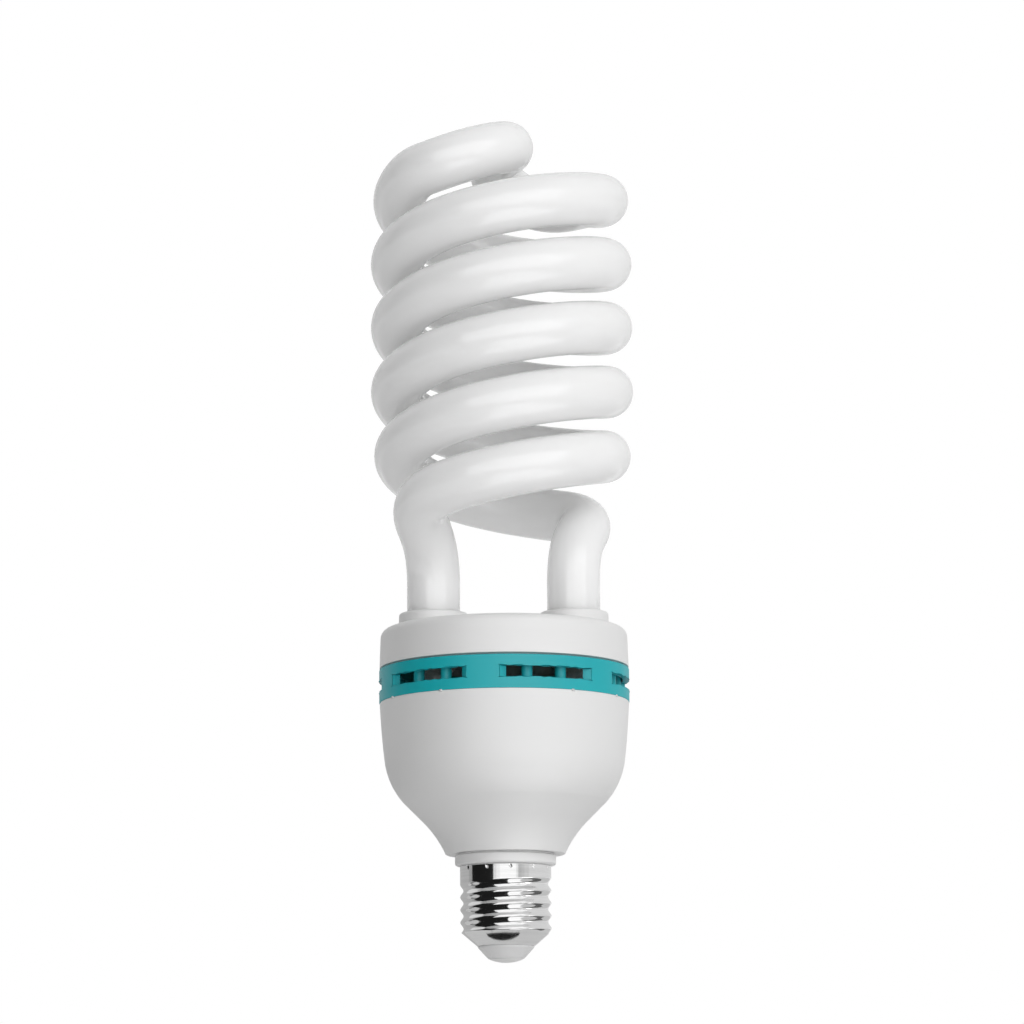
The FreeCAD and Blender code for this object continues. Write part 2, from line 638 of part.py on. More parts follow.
def build_vent_ring():
    body = new_body("vent_ring")
    low, high = S.ring_bottom, S.ring_top
    bowl_inside = S.bowl_radius - S.bowl_wall - S.spigot_fit
    cap_inside = S.cap_radius - S.cap_wall - S.seat_gap
    wall_inside = S.ring_radius - S.ring_wall
    corners = [
        (S.ring_bore, low - S.ring_spigot), (bowl_inside, low - S.ring_spigot), (bowl_inside, low),
        (S.ring_radius, low), (S.ring_radius, high), (cap_inside, high),
        (cap_inside, high + S.ring_spigot), (S.ring_bore, high + S.ring_spigot),
        (S.ring_bore, high - S.ring_flange), (wall_inside, high - S.ring_flange),
        (wall_inside, low + S.ring_flange), (S.ring_bore, low + S.ring_flange)]
    revolve(body, "channel", corners)
    middle = S.ring_bottom + S.ring_height / 2
    inner_y, outer_y = S.slot_inner_chord / 2, S.slot_outer_chord / 2
    inner_x = (wall_inside * wall_inside - inner_y * inner_y).root()
    outer_x = (S.ring_radius * S.ring_radius - outer_y * outer_y).root()
    run_x, run_y = outer_x - inner_x, outer_y - inner_y
    outside = S.ring_radius + S.ring_wall
    plan = outline(body, "slot_plan", "XY_Plane", [
        (inner_x - run_x, -(inner_y - run_y)), (outer_x + run_x, -(outer_y + run_y)),
        (outside, -(outer_y + run_y)), (outside, outer_y + run_y),
        (outer_x + run_x, outer_y + run_y), (inner_x - run_x, inner_y - run_y)],
        lift=middle + S.slot_height / 2)
    slot = pocket(body, "slot", plan, S.slot_height)
    around(body, "slots", [slot], S.slot_count)
    spread = math.radians(number(S.post_spread))
    spots = [(S.post_circle * math.cos(spread), S.post_circle * math.sin(spread) * side)
             for side in (-1, 1)]
    feet = circles(body, "post_feet", "XY_Plane", spots, S.post_radius, low + S.ring_flange / 2)
    posts = pad(body, "posts", feet, S.ring_height - S.ring_flange)
    around(body, "all_posts", [posts], S.slot_count)
    turn(body, Z_DIR, S.slot_turn)


def build_tube_cap():
    body = new_body("tube_cap")
    seat = S.ring_top
    top, corner, wall = S.cap_top, S.cap_corner, S.cap_wall
    inside = S.cap_radius - wall
    corners = [
        (inside, seat), (S.cap_radius - S.cap_land, seat),
        (S.cap_radius - S.cap_land, seat + S.cap_gap), (S.cap_radius, seat + S.cap_gap),
        (S.cap_shoulder, top - corner), (S.cap_shoulder - corner, top), (0, top), (0, top - wall),
        (inside - corner, top - wall), (inside, top - wall - corner)]
    revolve(body, "cover", corners, {4: (corner, True), 8: (corner, False)})
    spots = [(-S.leg_offset, 0), (S.leg_offset, 0)]
    rings = circles(body, "collar_rings", "XY_Plane", spots, S.collar_radius, top - wall / 2)
    pad(body, "collars", rings, S.collar_height + wall / 2)
    tubes = circles(body, "sleeve_rings", "XY_Plane", spots,
                    S.tube_radius + S.collar_fit + S.sleeve_wall, top - wall - S.sleeve_depth)
    pad(body, "sleeves", tubes, S.sleeve_depth + wall / 2)
    bores = circles(body, "leg_bores", "XY_Plane", spots, S.tube_radius + S.collar_fit,
                    top + S.collar_height)
    pocket(body, "bores", bores, S.collar_height + wall + S.sleeve_depth)


def build_tube_cement(label, side):
    body = new_body(label)
    top = S.cap_top - S.cap_wall - S.sleeve_depth
    outer = S.tube_radius + S.collar_fit + S.sleeve_wall
    inner = S.tube_radius + S.seat_gap
    corners = [
        (inner, top - S.cement_height), (outer - S.cement_taper, top - S.cement_height),
        (outer, top), (inner, top)]
    revolve(body, label + "_bead", corners)
    place(body, x=S.leg_offset * side)


# Ballast
def build_circuit_board():
    body = new_body("circuit_board")
    disc = circles(body, "disc", "XY_Plane", [(0, 0)], S.board_radius, S.board_height)
    pad(body, "laminate", disc, S.board_thickness)


def build_bulk_capacitor():
    body = new_body("bulk_capacitor")
    low, high = S.can_bottom, S.can_bottom + S.can_length
    rim, crimp, groove = S.can_radius, S.can_crimp, S.can_bottom + S.can_length - S.can_groove
    corners = [
        (0, low), (rim - crimp, low), (rim, low + crimp), (rim, groove - crimp * 3 / 2),
        (rim - crimp, groove - crimp / 2), (rim - crimp, groove + crimp / 2),
        (rim, groove + crimp * 3 / 2), (rim, high), (rim - crimp, high),
        (rim - crimp, high - crimp), (0, high - crimp)]
    revolve(body, "can", corners, {1: (crimp, True)})
    spots = [(-S.can_lead, 0), (S.can_lead, 0)]
    wires = circles(body, "lead_circles", "XY_Plane", spots, S.wire_radius, high - crimp * 2)
    pad(body, "leads", wires, S.board_height - high + crimp * 2)


def rectangle(body, name, plane, width, low, high, lift=None):
    """Rectangle centred on the first axis of its plane."""
    return outline(body, name, plane, [
        (-(width / 2), low), (width / 2, low), (width / 2, high), (-(width / 2), high)], lift=lift)


def block(body, name, width, depth, low, height):
    """Upright block centred on the axis, from a height."""
    sketch = rectangle(body, name + "_plan", "XY_Plane", width, -(depth / 2), depth / 2, low)
    return pad(body, name, sketch, height)


def shaft(body, name, width, depth, low, height):
    """Upright square hole centred on the axis, cut down from low + height."""
    sketch = rectangle(body, name + "_plan", "XY_Plane", width, -(depth / 2), depth / 2, low + height)
    return pocket(body, name, sketch, height)


def build_resonant_choke():
    low = S.board_height - S.core_height - S.bobbin_wall
    window_low, window_high = low + S.core_yoke, low + S.core_height - S.core_yoke
    window = window_high - window_low
    core = new_body("choke_core")
    block(core, "core_block", S.core_width, S.core_depth, low, S.core_height)
    near = S.core_depth / 2
    far = S.core_width / 2 - S.core_yoke
    for index, side in enumerate((-1, 1)):
        edges = [(near * side, window_low), (far * side, window_low),
                 (far * side, window_high), (near * side, window_high)]
        sketch = outline(core, f"window_{index}_side", "XZ_Plane", edges, lift=-S.core_depth)
        pocket(core, f"window_{index}", sketch, S.core_depth * 2, reverse=True)
    tube_side = S.core_depth + S.bobbin_wall * 2 + S.seat_gap * 2
    hole = S.core_depth + S.seat_gap * 2
    inner_low = window_low + S.seat_gap
    inner = window - S.seat_gap * 2
    bobbin = new_body("choke_bobbin")
    block(bobbin, "bobbin_tube", tube_side, tube_side, inner_low, inner)
    flange_x = far * 2 - S.seat_gap * 4
    block(bobbin, "flange_low", flange_x, S.bobbin_flange, inner_low, S.bobbin_wall)
    block(bobbin, "flange_high", flange_x, S.bobbin_flange, inner_low + inner - S.bobbin_wall,
          S.bobbin_wall)
    shaft(bobbin, "bobbin_hole", hole, hole, inner_low, inner)
    winding = new_body("choke_winding")
    coil_low = inner_low + S.bobbin_wall + S.seat_gap
    coil = inner - S.bobbin_wall * 2 - S.seat_gap * 2
    block(winding, "turns", flange_x - S.bobbin_wall, S.winding_depth, coil_low, coil)
    bore = tube_side + S.seat_gap * 2
    shaft(winding, "turns_bore", bore, bore, coil_low, coil)
    near_y, far_y = S.winding_depth / 2 + S.seat_gap, S.bobbin_flange / 2
    for index, side in enumerate((-1, 1)):
        foot = outline(bobbin, f"foot_{index}_plan", "XY_Plane", [
            (-(S.core_depth / 2), near_y * side), (S.core_depth / 2, near_y * side),
            (S.core_depth / 2, far_y * side), (-(S.core_depth / 2), far_y * side)],
            lift=inner_low + inner - S.bobbin_wall)
        pad(bobbin, f"foot_{index}", foot, S.board_height - inner_low - inner + S.bobbin_wall)
    for item in (core, bobbin, winding):
        place(item, y=S.choke_y)


def build_filter_choke(x, y):
    low, high = S.board_height - S.drum_height, S.board_height
    core = new_body("filter_choke_core")
    rim, waist, flange = S.drum_radius, S.drum_waist, S.drum_flange
    revolve(core, "drum", [
        (0, low), (rim, low), (rim, low + flange), (waist, low + flange), (waist, high - flange),
        (rim, high - flange), (rim, high), (0, high)])
    winding = new_body("filter_choke_winding")
    gap = S.seat_gap
    revolve(winding, "drum_turns", [
        (waist + gap, low + flange + gap), (rim - gap * 8, low + flange + gap),
        (rim - gap * 8, high - flange - gap), (waist + gap, high - flange - gap)])
    for item in (core, winding):
        place(item, x=x, y=y)


def build_drive_toroid(x, y):
    layer, gap = S.toroid_layer, S.seat_gap
    low = S.board_height - S.toroid_height - layer - gap
    high = low + S.toroid_height
    core = new_body("drive_toroid_core")
    revolve(core, "toroid", [
        (S.toroid_bore, low), (S.toroid_radius, low), (S.toroid_radius, high), (S.toroid_bore, high)])
    place(core, x=x, y=y)
    for index in range(3):
        winding = new_body(f"drive_winding_{index + 1}")
        over = layer + gap
        turns = revolve(winding, f"turns_{index}", [
            (S.toroid_bore - over, low - over), (S.toroid_radius + over, low - over),
            (S.toroid_radius + over, high + over), (S.toroid_bore - over, high + over)])
        turns.Angle = 60
        passage = revolve(winding, f"passage_{index}", [
            (S.toroid_bore - gap, low - gap), (S.toroid_radius + gap, low - gap),
            (S.toroid_radius + gap, high + gap), (S.toroid_bore - gap, high + gap)], kind="Groove")
        passage.Angle = 360
        turn(winding, Z_DIR, 120 * index)
        place(winding, x=x, y=y)


def build_film_capacitor(label, x, y):
    body = new_body(label)
    low = S.board_height - S.film_height
    form = block(body, label + "_block", S.film_length, S.film_width, low, S.film_height)
    doc.recompute()
    coat = body.newObject("PartDesign::Fillet", label + "_coat")
    coat.Base = (form, [f"Edge{n}" for n in range(1, len(form.Shape.Edges) + 1)])
    bind(coat, Radius=S.film_round)
    turn(body, Z_DIR, 90)
    place(body, x=x, y=y)


def build_power_transistor(label, x, y):
    body = new_body(label)
    low = S.board_height - S.switch_lead - S.switch_height
    block(body, label + "_case", S.switch_width, S.switch_depth, low, S.switch_height)
    side = circles(body, label + "_hole", "XZ_Plane", [(0, low + S.switch_hole * 2)],
                   S.switch_hole, -S.switch_depth)
    pocket(body, label + "_bore", side, S.switch_depth * 2, reverse=True)
    spots = [(S.switch_width * share, 0) for share in (-0.3, 0, 0.3)]
    feet = circles(body, label + "_feet", "XY_Plane", spots, S.wire_radius,
                   S.board_height - S.switch_lead - S.wire_radius)
    pad(body, label + "_leads", feet, S.switch_lead + S.wire_radius)
    place(body, x=x, y=y)


def build_axial_part(label, radius, length, span, x, y):
    """Wire-ended component lying along Y under the board, with both leads bent up to it."""
    drop = radius * 1.5
    middle = S.board_height - drop
    case = cylinder(label + "_case", radius, length, y=length / 2, z=middle)
    wire = cylinder(label + "_wire", S.wire_radius, span, y=span / 2, z=middle)
    for item in (case, wire):
        turn(item, Vector(1, 0, 0), 90)
    ends = [cylinder(f"{label}_end_{index}", S.wire_radius, drop + S.wire_radius, y=span / 2 * side,
                     z=middle - S.wire_radius) for index, side in enumerate((-1, 1))]
    whole = doc.addObject("Part::MultiFuse", label)
    whole.Shapes = [case, wire] + ends
    place(whole, x=x, y=y)
    return keep(whole, label)


def build_fuse_sleeve(x, y):
    """Woven sleeve around the fuse resistor."""
    middle = S.board_height - S.fuse_radius * 1.5
    inner = S.fuse_radius + S.seat_gap
    length = S.fuse_length + S.sleeve_thickness * 2
    parts = [cylinder("sleeve_outside", inner + S.sleeve_thickness, length, y=length / 2, z=middle),
             cylinder("sleeve_inside", inner, length, y=length / 2, z=middle)]
    for item in parts:
        turn(item, Vector(1, 0, 0), 90)
    sleeve = doc.addObject("Part::Cut", "fuse_sleeve")
    sleeve.Base, sleeve.Tool = parts
    place(sleeve, x=x, y=y)
    keep(sleeve, "fuse_sleeve")


def build_wrap_pin(label, side_x, side_y):
    body = new_body(label)
    block(body, label + "_post", S.pin_side, S.pin_side, S.board_height + S.board_thickness,
          S.pin_height)
    place(body, x=S.pin_x * side_x, y=S.pin_y * side_y)


def build_wire(label, route, radius):
    """Round wire along waypoints, made of straight runs and tangent arcs."""
    start, way = route[0]
    section = Part.Circle(start, way, radius).toShape()
    walls = [Part.Face(Part.Wire(section))]
    for (first, first_way), (last, last_way) in zip(route, route[1:]):
        for piece in tangent_arcs(first, first_way, last, last_way):
            wall, section = sweep_section(section, *piece)
            walls.append(wall)
    walls.append(Part.Face(Part.Wire(section)))
    wire = doc.addObject("Part::Feature", label)
    wire.Shape = closed_solid(walls)
    return keep(wire, label)


def build_tube_lead(label, side_x, side_y):
    """Lead wire from the press seal of a leg to its wrap pin."""
    seal = S.leg_bottom.value - S.seal_taper.value - S.seal_length.value
    start = Vector(S.leg_offset.value * side_x, 0, seal)
    start.x += S.lead_spread.value * side_y
    side = S.pin_side.value / 2 + S.seat_gap.value + S.lead_radius.value
    end = Vector((S.pin_x.value + side) * side_x, (S.pin_y.value - side) * side_y, 0)
    end.z = S.board_height.value + S.board_thickness.value + S.pin_height.value / 3
    build_wire(label, [(start, -Z_DIR), (end, Vector(side_x, 0, 0))], S.lead_radius.value)


def build_supply_wires():
    """Live wire to the centre contact and neutral wire to the inside of the shell."""
    offset, radius = S.supply_offset.value, S.supply_radius.value
    board = S.board_height.value
    bend = S.can_bottom.value
    down = -Z_DIR
    live_end = S.contact_head.value + S.seat_gap.value
    build_wire("live_wire", [
        (Vector(offset, 0, board), down), (Vector(offset, 0, bend), down),
        (Vector(0, 0, S.contact_top.value + radius * 4), down), (Vector(0, 0, live_end), down)],
        radius)
    wall = S.shell_root_radius.value - S.shell_wall.value - S.seat_gap.value
    out = Vector(-1, 0, -1).normalize()
    reach = radius * math.sqrt(0.5)
    end = Vector(-(wall - reach), 0, S.spigot_bottom.value - radius * 4.5)
    build_wire("neutral_wire", [
        (Vector(-offset, 0, board), down), (Vector(-offset, 0, bend), down), (end, out)], radius)


def check_document():
    """Every object has computed and every sub-part has a sound shape."""
    doc.recompute()
    for item in doc.Objects:
        if "Invalid" in item.State or "Error" in item.State:
            raise RuntimeError(f"{item.Label} did not compute: {item.State}")
    for item in NODES:
        if item.Shape.isNull() or not item.Shape.isValid() or not item.Shape.Solids:
            raise RuntimeError(f"{item.Label} has no sound shape")


def build_all():
    fill_sheet()
    build_spiral_tube()
    build_tube_cap()
    build_vent_ring()
    build_lower_housing()
    build_screw_shell()
    build_base_insulator()
    build_centre_contact()
    for label, side in (("tube_cement_left", -1), ("tube_cement_right", 1)):
        build_tube_cement(label, side)
    build_circuit_board()
    build_bulk_capacitor()
    build_resonant_choke()
    build_filter_choke(-S.filter_x, -S.filter_y)
    build_drive_toroid(S.toroid_x, -S.toroid_y)
    build_film_capacitor("resonance_capacitor", -S.film_x, S.film_y)
    build_film_capacitor("dc_block_capacitor", S.film_x, S.film_y)
    build_power_transistor("upper_transistor", -S.switch_x, -S.switch_y)
    build_power_transistor("lower_transistor", S.switch_x, -S.switch_y)
    for index in range(4):
        build_axial_part(f"rectifier_diode_{index + 1}", S.diode_radius, S.diode_length,
                         S.diode_span, S.diode_step * (index - 2), -S.axial_y)
    build_axial_part("fuse_resistor", S.fuse_radius, S.fuse_length, S.fuse_span, S.fuse_x,
                     -S.axial_y)
    build_fuse_sleeve(S.fuse_x, -S.axial_y)
    corners = [(-1, -1), (-1, 1), (1, -1), (1, 1)]
    for index, (side_x, side_y) in enumerate(corners, start=1):
        build_wrap_pin(f"wrap_pin_{index}", side_x, side_y)
        build_tube_lead(f"tube_lead_{index}", side_x, side_y)
    build_supply_wires()
    check_document()


def write_parts():
    os.makedirs("parts", exist_ok=True)
    for item in NODES:
        item.Shape.exportStep(f"parts/{item.Label}.step")
        print(f"{item.Label:24s} volume {item.Shape.Volume:10.1f} solids {len(item.Shape.Solids)}")


build_all()
write_parts()
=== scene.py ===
import functools
import logging
import math
from collections.abc import Sequence
from dataclasses import dataclass, field
from enum import Enum

import bmesh
import bpy
import numpy as np
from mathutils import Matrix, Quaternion, Vector


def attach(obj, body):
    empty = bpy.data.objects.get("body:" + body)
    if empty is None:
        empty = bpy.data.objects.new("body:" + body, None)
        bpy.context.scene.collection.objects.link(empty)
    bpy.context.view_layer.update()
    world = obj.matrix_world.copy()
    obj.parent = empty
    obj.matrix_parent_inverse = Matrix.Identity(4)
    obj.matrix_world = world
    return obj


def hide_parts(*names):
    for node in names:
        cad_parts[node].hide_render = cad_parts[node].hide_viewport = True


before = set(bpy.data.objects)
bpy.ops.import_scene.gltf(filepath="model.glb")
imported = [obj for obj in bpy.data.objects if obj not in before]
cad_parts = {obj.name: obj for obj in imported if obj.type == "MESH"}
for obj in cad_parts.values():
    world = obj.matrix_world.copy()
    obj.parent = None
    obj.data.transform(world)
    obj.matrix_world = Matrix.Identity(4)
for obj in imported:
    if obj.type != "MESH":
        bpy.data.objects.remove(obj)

# Looks of a spiral energy saving bulb with an E27 screw cap. Sizes are in millimetres and become
# metres when a mesh is made. The lamp stands on its centre contact at the origin, its axis is +Z,
# the legs of its tube stand along X, and its front faces -Y.

MM = 0.001
WHITE = (1.0, 1.0, 1.0, 1.0)
Colour = tuple[float, float, float]
Spot = tuple[float, float]
Place = tuple[float, float, float]
Floats = np.ndarray
log = logging.getLogger("spiral_bulb")


class Side(Enum):
    """The two sides of the lamp, as signs of X."""

    LEFT = -1
    RIGHT = 1


class Along(Enum):
    """The axis that wires are wound along, as the index of its coordinate."""

    X = 0
    Y = 1
    Z = 2


# Shapes

ROUNDED_SHARE = 0.48  # The most of a side that the rounding of one corner takes
SAME_PLACE = 1e-7  # Points nearer than this, in metres, become one
PLACE_DIGITS = 7  # Digits of a metre by which a point is found again


@dataclass(frozen=True)
class Corner:
    """A corner of an outline that is turned about an upright axis.

    Args:
        radius: Distance from the axis.
        height: Height of the corner.
        round: Rounding of the corner.
        curve: Radius of the arc that follows, or 0 for a straight side. Its centre is to the
            left of the way round, or to the right when the radius is negative.
    """

    radius: float
    height: float
    round: float = 0.0
    curve: float = 0.0


def arc_points(start: Spot, end: Spot, curve: float, step: float = 0.7) -> list[Spot]:
    """Points between the ends of an arc.

    Args:
        start: Where the arc starts.
        end: Where the arc ends.
        curve: Its radius, negative when the centre is to the right.
        step: Longest distance between two points.

    Returns:
        The points in order, without the two ends.
    """
    a, b = np.array(start), np.array(end)
    chord = b - a
    length = float(np.hypot(*chord))
    left = np.array([-chord[1], chord[0]]) / length * math.copysign(1, curve)
    reach = math.sqrt(max(curve * curve - length * length / 4, 0))
    centre = (a + b) / 2 + left * reach
    first = math.atan2(*(a - centre)[::-1])
    sweep = 2 * math.asin(min(length / 2 / abs(curve), 1)) * math.copysign(1, curve)
    count = max(2, math.ceil(abs(sweep * curve) / step))
    turns = first + sweep * np.arange(1, count) / count
    return [(centre[0] + abs(curve) * math.cos(turn), centre[1] + abs(curve) * math.sin(turn))
            for turn in turns]


def smooth(share: float | Floats) -> float | Floats:
    """A share between 0 and 1 that is eased at both ends."""
    return share * share * (3 - 2 * share)


def trace(corners: Sequence[Corner], steps: int = 5) -> list[Spot]:
    """Points of a closed outline with its arcs and rounded corners.

    Args:
        corners: The corners in order, anticlockwise with the axis on the left.
        steps: Spans of a rounded corner.

    Returns:
        Radius and height of each point.
    """
    rough: list[tuple[float, float, float]] = []
    for corner, following in zip(corners, [*corners[1:], corners[0]]):
        start, end = (corner.radius, corner.height), (following.radius, following.height)
        rough.append((*start, corner.round))
        if corner.curve:
            rough += [(*point, 0.0) for point in arc_points(start, end, corner.curve)]
    points: list[Spot] = []
    for index, (radius, height, rounding) in enumerate(rough):
        if not rounding:
            points.append((radius, height))
            continue
        here = np.array([radius, height])
        before = np.array(rough[index - 1][:2]) - here
        after = np.array(rough[(index + 1) % len(rough)][:2]) - here
        near, far = np.hypot(*before), np.hypot(*after)
        turn = math.pi - math.acos(np.clip(before @ after / near / far, -1, 1))
        reach = min(rounding * math.tan(turn / 2), near * ROUNDED_SHARE, far * ROUNDED_SHARE)
        start, end = here + before / near * reach, here + after / far * reach
        for step in range(steps + 1):
            t = step / steps
            point = start * (1 - t) ** 2 + here * 2 * t * (1 - t) + end * t * t
            points.append((float(point[0]), float(point[1])))
    return points


def add_object(name: str, data: bpy.types.ID) -> bpy.types.Object:
    """Put a mesh, light or camera in the scene.

    Args:
        name: Name of the object.
        data: What it shows.

    Returns:
        The new object.
    """
    made = bpy.data.objects.new(name, data)
    bpy.context.scene.collection.objects.link(made)
    return made


class Form:
    """Gathers the surfaces of one piece in millimetres and makes its mesh."""

    bevel_segments = 3
    bevel_angle = 35

    def __init__(self) -> None:
        """Start with no surface."""
        self.points: list[Floats] = []
        self.faces: list[list[int]] = []
        self.count = 0

    def surface(self, grid: Floats, closed_rows: bool = False, closed_columns: bool = True,
                holes: Floats | None = None) -> None:
        """Add a grid of quads whose outside is where the rows cross the columns.

        Args:
            grid: Points by row and column.
            closed_rows: The last row joins the first.
            closed_columns: The last column joins the first.
            holes: Mask of the cells that are left open.
        """
        rows, columns = grid.shape[:2]
        index = np.arange(rows * columns).reshape(rows, columns) + self.count
        up = np.roll(index, -1, axis=0) if closed_rows else index[1:]
        low = index if closed_rows else index[:-1]
        next_low, next_up = np.roll(low, -1, axis=1), np.roll(up, -1, axis=1)
        quads = np.stack([low, next_low, next_up, up], axis=-1)
        if not closed_columns:
            quads = quads[:, :-1]
        kept = quads.reshape(-1, 4) if holes is None else quads[~holes]
        self.faces += kept.tolist()
        self.points.append(grid.reshape(-1, 3))
        self.count += rows * columns

    def turned(self, corners: Sequence[Corner], segments: int = 192, x: float = 0.0,
               y: float = 0.0) -> None:
        """Turn a closed outline about an upright axis.

        Args:
            corners: The outline.
            segments: Spans around the axis.
            x: The axis's place along X.
            y: The axis's place along Y.
        """
        outline = np.array(trace(corners))
        angle = np.linspace(0, 2 * math.pi, segments, endpoint=False)
        radius, height = outline[:, :1], outline[:, 1:]
        grid = np.stack([x + radius * np.cos(angle), y + radius * np.sin(angle),
                         height + 0 * angle], axis=-1)
        self.surface(grid, closed_rows=True)

    def block(self, low: Place, high: Place, turn: float) -> None:
        """Add a block that is turned about the lamp's axis.

        Args:
            low: Its lowest corner before the turn.
            high: Its highest corner before the turn.
            turn: Angle of the turn in degrees.
        """
        c, s = math.cos(math.radians(turn)), math.sin(math.radians(turn))
        plan = np.array([[low[0], low[1]], [high[0], low[1]], [high[0], high[1]],
                         [low[0], high[1]]]) @ np.array([[c, s], [-s, c]])
        for z in (low[2], high[2]):
            self.points.append(np.column_stack([plan, np.full(4, z)]))
        bottom = [self.count + corner for corner in range(4)]
        top = [corner + 4 for corner in bottom]
        self.count += 8
        self.faces += [bottom[::-1], top]
        for side in range(4):
            after = (side + 1) % 4
            self.faces.append([bottom[side], bottom[after], top[after], top[side]])

    def piece(self, name: str, *replaced: str, edge: float = 0.0) -> bpy.types.Object:
        """Make the piece, which rides with the lamp.

        Args:
            name: Name of the piece.
            replaced: The frame's nodes that it stands for.
            edge: Width of the bevel along its sharp edges.

        Returns:
            The new object.
        """
        mesh = bpy.data.meshes.new(name)
        mesh.from_pydata((np.concatenate(self.points) * MM).tolist(), [], self.faces)
        work = bmesh.new()
        work.from_mesh(mesh)
        bmesh.ops.remove_doubles(work, verts=work.verts, dist=SAME_PLACE)
        work.to_mesh(mesh)
        work.free()
        mesh.polygons.foreach_set("use_smooth", [True] * len(mesh.polygons))
        made = add_object(name, mesh)
        if edge:
            bevel = made.modifiers.new("edges", "BEVEL")
            bevel.width = edge * MM
            bevel.segments = self.bevel_segments
            bevel.limit_method = "ANGLE"
            bevel.angle_limit = math.radians(self.bevel_angle)
        made.modifiers.new("shading", "WEIGHTED_NORMAL")
        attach(made, "root")
        if replaced:
            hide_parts(*replaced)
        return made


# Effects that several finishes share

SINK_SCALE, SINK_WEIGHT = 0.02, 3.0  # The slow waves of a moulding, beside its grain
AROUND_SCALE = 60.0  # How often a turned line changes on its way round, in a metre
CROWN_FALL = 3.8  # How steeply a wire's turn falls off from its crown
SMUDGE_SPAN = (0.48, 0.72)  # Where a smudge starts and is full
SPECK_SPAN, SPECK_WEIGHT = (0.05, 0.12), 0.35  # Where a speck is full and ends, and its strength


class Network:
    """Short hand for adding nodes to a material or a group."""

    def __init__(self, tree: bpy.types.NodeTree) -> None:
        """Work on a node tree."""
        self.tree = tree

    def add(self, kind: str, inputs: dict[str | int, object] | None = None,
            **settings: object) -> bpy.types.Node:
        """Add a node.

        Args:
            kind: Its type.
            inputs: Values or sockets for its inputs, by name or index.
            **settings: Its other settings.

        Returns:
            The new node.
        """
        node = self.tree.nodes.new(kind)
        for name, value in settings.items():
            setattr(node, name, value)
        for key, value in (inputs or {}).items():
            if isinstance(value, bpy.types.NodeSocket):
                self.send(value, node.inputs[key])
            else:
                node.inputs[key].default_value = value
        return node

    def math(self, operation: str, first: object, second: object = 0.0,
             clamp: bool = False) -> bpy.types.NodeSocket:
        """Add a math node.

        Args:
            operation: What it does.
            first: Its first number or socket.
            second: Its second number or socket.
            clamp: Keep the result between 0 and 1.

        Returns:
            The node's result.
        """
        node = self.add("ShaderNodeMath", {0: first, 1: second}, operation=operation,
                        use_clamp=clamp)
        return node.outputs[0]

    def place(self) -> bpy.types.NodeSocket:
        """Place on the piece, in metres."""
        return self.add("ShaderNodeTexCoord").outputs["Object"]

    def noise(self, place: bpy.types.NodeSocket, scale: object, detail: float,
              roughness: float = 0.5, distortion: float = 0.0) -> bpy.types.NodeSocket:
        """Add a noise.

        Args:
            place: Where it is read.
            scale: Number or socket for its spots in a metre.
            detail: How many finer layers it has.
            roughness: How strong the finer layers are.
            distortion: How far it is smeared.

        Returns:
            The noise's mask.
        """
        node = self.add("ShaderNodeTexNoise", {"Vector": place, "Scale": scale, "Detail": detail,
                                               "Roughness": roughness, "Distortion": distortion})
        return node.outputs["Fac"]

    def fit(self, value: bpy.types.NodeSocket, old: Sequence[object] = (0.0, 1.0),
            new: Sequence[float] = (0.0, 1.0), **settings: object) -> bpy.types.NodeSocket:
        """Carry a value over from one range to another.

        Args:
            value: The value.
            old: Ends of its range, numbers or sockets.
            new: What the two ends become.
            **settings: The node's other settings.

        Returns:
            The value in its new range.
        """
        ends = {"From Min": old[0], "From Max": old[1], "To Min": new[0], "To Max": new[1]}
        node = self.add("ShaderNodeMapRange", {"Value": value, **ends}, **settings)
        return node.outputs["Result"]

    def mix(self, share: bpy.types.NodeSocket, first: Colour,
            second: Colour) -> bpy.types.NodeSocket:
        """Mix two colours.

        Args:
            share: How much there is of the second.
            first: The first colour.
            second: The second colour.

        Returns:
            The mixed colour.
        """
        node = self.add("ShaderNodeMix", {"Factor": share, 6: (*first, 1.0), 7: (*second, 1.0)},
                        data_type="RGBA")
        return node.outputs[2]

    def bump(self, height: bpy.types.NodeSocket, distance: object) -> bpy.types.NodeSocket:
        """Normal of a relief with this height and this full height in metres."""
        node = self.add("ShaderNodeBump", {"Height": height, "Distance": distance})
        return node.outputs["Normal"]

    def send(self, source: bpy.types.NodeSocket, target: bpy.types.NodeSocket) -> None:
        """Link one socket to another."""
        self.tree.links.new(source, target)

    def find(self, kind: str) -> bpy.types.Node:
        """Find the node of a type that a new material brings along."""
        return next(node for node in self.tree.nodes if node.type == kind)

    def group(self, effect: bpy.types.NodeTree, **inputs: object) -> bpy.types.Node:
        """Add a shared effect, whose inputs are named with underscores for spaces."""
        values = {name.replace("_", " "): value for name, value in inputs.items()}
        return self.add("ShaderNodeGroup", values, node_tree=effect)


def effect(name: str, inputs: dict[str, float],
           outputs: dict[str, str]) -> tuple[Network, bpy.types.Node, bpy.types.Node]:
    """Start a shared effect.

    Args:
        name: Its name.
        inputs: Names and first values of its inputs.
        outputs: Names and socket types of its outputs.

    Returns:
        The group's network, its entry and its exit.
    """
    tree = bpy.data.node_groups.new(name, "ShaderNodeTree")
    for label, value in inputs.items():
        socket = tree.interface.new_socket(label, in_out="INPUT", socket_type="NodeSocketFloat")
        socket.default_value = value
    for label, kind in outputs.items():
        tree.interface.new_socket(label, in_out="OUTPUT", socket_type=kind)
    net = Network(tree)
    return net, net.add("NodeGroupInput"), net.add("NodeGroupOutput")


